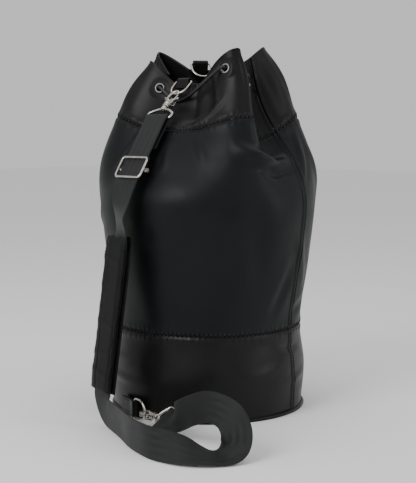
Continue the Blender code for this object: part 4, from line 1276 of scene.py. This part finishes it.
def lower_keys(loop_bar, loop_width):
    half = STRAP_W / 2 + 0.0006
    floor_run = Vector((0.93, -0.37, 0)).normalized()
    foot_at = PAD_FOOT + Vector((0, -0.0004, half + FLOOR_BEND - PAD_FOOT.z))
    keys = [(PAD_HEAD.lerp(PAD_FOOT, d), PAD_ACROSS) for d in (0.5015, 0.70, 0.86)]
    for i in range(0, 5):
        t = math.pi / 2 * i / 4
        go = PAD_ACROSS.lerp(floor_run, i / 4).normalized()
        keys.append((foot_at + go * FLOOR_BEND * (1 - math.cos(t)) - Z * FLOOR_BEND * math.sin(t),
                     go * math.cos(t) + Z * math.sin(t)))
    keys += [(Vector(place), Vector(wide)) for place, wide in FLOOR_KEYS]
    back = -BASE_RUN
    flat = -loop_width.normalized()
    side = back.cross(flat).normalized()
    if side.z < 0:
        side = -side
    near, under = loop_bar + side * FOLD_R, loop_bar - side * FOLD_R
    keys += [(near - back * 0.016, flat), (near - back * 0.003, flat)]
    for i in range(1, 8):
        t = math.pi * i / 8
        keys.append((loop_bar + side * FOLD_R * math.cos(t) + back * FOLD_R * math.sin(t), flat))
    return keys + [(under - back * 0.003, flat), (under - back * 0.014, flat)]


upper = band("shoulder_strap_upper", webbing, strap_stations(upper_keys(top_bar), 0.0018),
             STRAP_W, STRAP_T, 14, 0.0005)
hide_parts("strap_upper")
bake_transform(upper)
lower = band("shoulder_strap_lower", webbing, strap_stations(lower_keys(base_bar, base_wide), 0.0022),
             STRAP_W, STRAP_T, 14, 0.0005)
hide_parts("strap_lower")
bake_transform(lower)
print("strap pieces", len(upper.data.polygons), len(lower.data.polygons))


# %% [markdown]
# ## Slider
#
# The slider is a wire frame over the strap. A short post on each side reaches back to the bar,
# whose ends stand out past the frame. The end of the strap is sewn round the bar.

# %% Slider
def slider_line(down, n, centre):
    front = RAIL_R + STRAP_T / 2 + 0.0004
    w, h, corner = STRAP_W / 2 + 0.0035, SLIDER_L / 2 - RAIL_R, 0.0045
    quarter = [(w - corner + corner * math.sin(t), h - corner + corner * math.cos(t))
               for t in (math.pi / 2 * i / 8 for i in range(9))]
    upper = [(0, h), (w * 0.5, h)] + quarter
    lower = [(x, -z) for x, z in reversed(quarter)] + [(w * 0.5, -h)]
    right = upper + [(w, 0)] + lower
    outline = right + [(-x, -z) for x, z in right]
    return [centre + X * x - down * z + n * front for x, z in outline], w, front


def make_slider(loop_bar):
    down, n = layers(loop_bar)
    wrap_in = BAR_R + SEAM_GAP
    wrap_mid = wrap_in + END_T / 2
    behind = -(STRAP_T / 2 + SEAM_GAP + wrap_in + END_T)
    points, w, front = slider_line(down, n, SLIDER_AT)
    rails = wire("slider_rails", [points], RAIL_R, nickel, closed=True, resolution=5)
    centre = SLIDER_AT + n * behind
    eyes = [wire("slider_eye", [[centre + X * s * (w - 0.0016), centre + X * s * (w + 0.0016)]],
                 0.0030, nickel, resolution=6) for s in (1, -1)]
    posts = wire("slider_posts", [[SLIDER_AT + X * s * w + n * front, centre + X * s * w] for s in (1, -1)],
                 RAIL_R, nickel, resolution=5)
    put(join("slider_bow", [rails, posts] + eyes), "slider", "nickel", "slider_frame")
    bar = wire("slider_cross_bar", [[centre - X * (w + 0.0035), centre + X * (w + 0.0035)]], BAR_R,
               nickel, resolution=5)
    put(bar, "slider", "nickel", "slider_bar")
    stations = [(centre + n * wrap_mid - down * END_LEG * share, X * STRAP_W / 2, n) for share in (1.0, 0.5)]
    for i in range(9):
        t = math.pi * i / 8
        out = n * math.cos(t) + down * math.sin(t)
        stations.append((centre + out * wrap_mid, X * STRAP_W / 2, out))
    close = centre + n * (wrap_mid - END_T - SEAM_GAP)
    stations += [(close - down * END_LEG * share, X * STRAP_W / 2, -n) for share in (0.55, 1.0)]
    end = band("sewn_strap_end", webbing, fill_in(stations, 0.0010), STRAP_W, END_T, 14, 0.0004)
    put(end, "slider", "webbing", "strap_end")


make_slider(top_bar)


# %% [markdown]
# ## The shoulder pad
#
# The pad is a sleeve: a padded face sewn along both edges to a thin backing, with the webbing
# between them. The face swells between its seams, which cloth pressure gives better than a formula.

# %% Pad face
def pad_axes():
    down = (PAD_FOOT - PAD_HEAD).normalized()
    return down, down.cross(PAD_ACROSS).normalized()


def pad_slab(name, thick, shrink):
    """A closed slab the shape of the padded face."""
    down, n = pad_axes()
    shift = n * (STRAP_T / 2 + PAD_GAP + PAD_T / 2)
    bm = bmesh.new()
    bmesh.ops.create_cube(bm, size=1.0)
    length = (PAD_FOOT - PAD_HEAD).length
    bmesh.ops.scale(bm, verts=bm.verts, vec=(PAD_W * shrink, thick, length * (1 - (1 - shrink) * 0.3)))
    bmesh.ops.bevel(bm, geom=list(bm.edges), offset=thick * 0.42, segments=3, profile=0.5,
                    affect="EDGES", material=-1)
    middle = (PAD_HEAD + PAD_FOOT) / 2 + shift
    bmesh.ops.transform(bm, matrix=frame_from(middle, PAD_ACROSS, -down), verts=bm.verts)
    return make(name, bm, pad_cloth)


def swell(item, pressure, cap):
    """Blow the slab up like a stuffed sleeve, moving no point further than cap."""
    remesh = item.modifiers.new("even", "REMESH")
    remesh.mode = "VOXEL"
    remesh.voxel_size = 0.0030
    bpy.context.view_layer.update()
    settle(item)
    rest = np.array([v.co for v in item.data.vertices])
    cloth = item.modifiers.new("Cloth", "CLOTH")
    cloth.settings.use_pressure = True
    cloth.settings.uniform_pressure_force = pressure
    cloth.settings.mass = 0.2
    cloth.settings.effector_weights.gravity = 0.0
    for number in range(1, 13):
        bpy.context.scene.frame_set(number)
    settle(item)
    bpy.context.scene.frame_set(1)
    now = np.array([v.co for v in item.data.vertices])
    move = now - rest
    far = np.linalg.norm(move, axis=1, keepdims=True)
    now = rest + move * np.minimum(1.0, cap / np.maximum(far, 1e-9))
    for v, co in zip(item.data.vertices, now):
        v.co = co
    smooth = item.modifiers.new("smooth", "SMOOTH")
    smooth.factor = 0.5
    smooth.iterations = 4
    finer = item.modifiers.new("finer", "SUBSURF")
    finer.levels = finer.render_levels = 1
    bpy.context.view_layer.update()
    settle(item)
    item.data.shade_smooth()
    return item


pad = swell(pad_slab("shoulder_pad_face", PAD_T - 0.0014, 0.99), 4.0, 0.0012)
pad_down, pad_out = pad_axes()


# %% [markdown]
# The sleeve has been worn to a shallow roof: a third of its width tips back along a row of
# stitches, and the cloth wrinkles across where the strap bends it.

# %% Pad shape and stitches
ROOF = -0.20                 # place of the stitched fold, in pad widths from the middle


def pad_relief(across, along):
    """Outward shift of the pad's face at (across, along), in metres from its middle."""
    tip = max(0.0, (ROOF * PAD_W - across)) / PAD_W
    groove = -0.0008 * math.exp(-((across - ROOF * PAD_W) / 0.0016) ** 2)
    wrinkle = 0.0
    for place, depth, slant in ((-0.072, 0.0008, 0.10), (-0.040, 0.0006, -0.14), (0.012, 0.0006, 0.12),
                                (0.050, 0.0008, -0.10), (0.078, 0.0009, 0.16)):
        wrinkle += depth * math.exp(-((along - place - across * slant) / 0.0045) ** 2)
    return groove + wrinkle - tip * 0.0065


pad_middle = (PAD_HEAD + PAD_FOOT) / 2
for v in pad.data.vertices:
    d = v.co - pad_middle
    across, along = d.dot(PAD_ACROSS), d.dot(pad_down)
    share = min(1.0, max(0.0, (d.dot(pad_out) - 0.0024) / 0.0040))
    v.co += pad_out * pad_relief(across, along) * share
put(pad, "bag", "pad_cloth", "shoulder_pad")
backing_at = pad_out * -(STRAP_T / 2 + PAD_GAP + BACKING_T / 2)
backing = band("pad_backing_cloth", pad_cloth,
               [(PAD_HEAD.lerp(PAD_FOOT, i / 60) + backing_at, PAD_ACROSS * PAD_W / 2, pad_out)
                for i in range(61)], PAD_W - 0.0006, BACKING_T, 16, 0.0005)
put(backing, "bag", "pad_cloth", "pad_backing")

pad_tree = surface_tree([pad])
pad_strokes = []
pad_half = (PAD_FOOT - PAD_HEAD).length / 2
for across in (-0.44 * PAD_W, ROOF * PAD_W, 0.44 * PAD_W):
    for pair in shares(48, 0.1):
        ends = []
        for share in pair:
            along = mix(-pad_half + 0.004, pad_half - 0.004, share)
            p = pad_middle + PAD_ACROSS * across + pad_down * along
            hit = pad_tree.ray_cast(p + pad_out * 0.03, -pad_out, 0.04)
            if hit[0] is not None:
                ends.append(hit[0])
        if len(ends) == 2:
            pad_strokes.append(stroke(ends[0], ends[1], pad_out))
put(wire("pad_stitch", pad_strokes, THREAD_R, thread_black, resolution=1), "bag", "cord")


# %% [markdown]
# ## Floor, light and camera
#
# A pale floor and three large soft lights, as in a small product studio. The main light stands
# high to the left of the camera, a weaker one fills in from the right, and one hangs overhead.

# %% Studio
def area_light(name, place, target, energy, width, height):
    light = bpy.data.lights.new(name, "AREA")
    light.energy = energy
    light.shape = "RECTANGLE"
    light.size = width
    light.size_y = height
    item = bpy.data.objects.new(name, light)
    bpy.context.scene.collection.objects.link(item)
    item.location = place
    item.rotation_euler = (Vector(target) - Vector(place)).to_track_quat("-Z", "Y").to_euler()
    return item


def make_floor():
    mat = new_material("studio_floor", (0.93, 0.93, 0.93), 0.8)[0]
    bm = bmesh.new()
    bmesh.ops.create_grid(bm, x_segments=1, y_segments=1, size=6.0)
    return make("studio_floor", bm, mat, recalc=False)


camera_turn = math.radians(42)
camera_away = Vector((math.sin(camera_turn), -math.cos(camera_turn), 0))
camera_right = Vector((math.cos(camera_turn), math.sin(camera_turn), 0))
middle = Vector((0, 0, 0.25))
floor = make_floor()
key = area_light("key_light", middle + camera_away * 1.3 - camera_right * 1.1 + Z * 1.1,
                 middle, 20, 0.9, 1.1)
fill = area_light("fill_light", middle + camera_away * 0.6 + camera_right * 1.7 + Z * 0.5,
                  middle, 7, 0.7, 1.3)
top = area_light("top_light", middle - camera_away * 0.3 + Z * 1.5, middle, 5, 1.2, 1.2)

camera_data = bpy.data.cameras.new("camera")
camera_data.sensor_width = 36.0
camera_data.lens = 90.5
camera = bpy.data.objects.new("camera", camera_data)
bpy.context.scene.collection.objects.link(camera)
camera.location = camera_away * 1.70 + Z * 0.4075
camera_aim = Vector((0, 0, 0.4075 - 1.70 * math.tan(math.radians(6))))
camera.rotation_euler = (camera_aim - camera.location).to_track_quat("-Z", "Y").to_euler()
bpy.context.scene.camera = camera

world = bpy.data.worlds.new("studio")
world.use_nodes = True
world.node_tree.nodes["Background"].inputs["Color"].default_value = (1.0, 1.0, 1.0, 1.0)
world.node_tree.nodes["Background"].inputs["Strength"].default_value = 0.7
bpy.context.scene.world = world
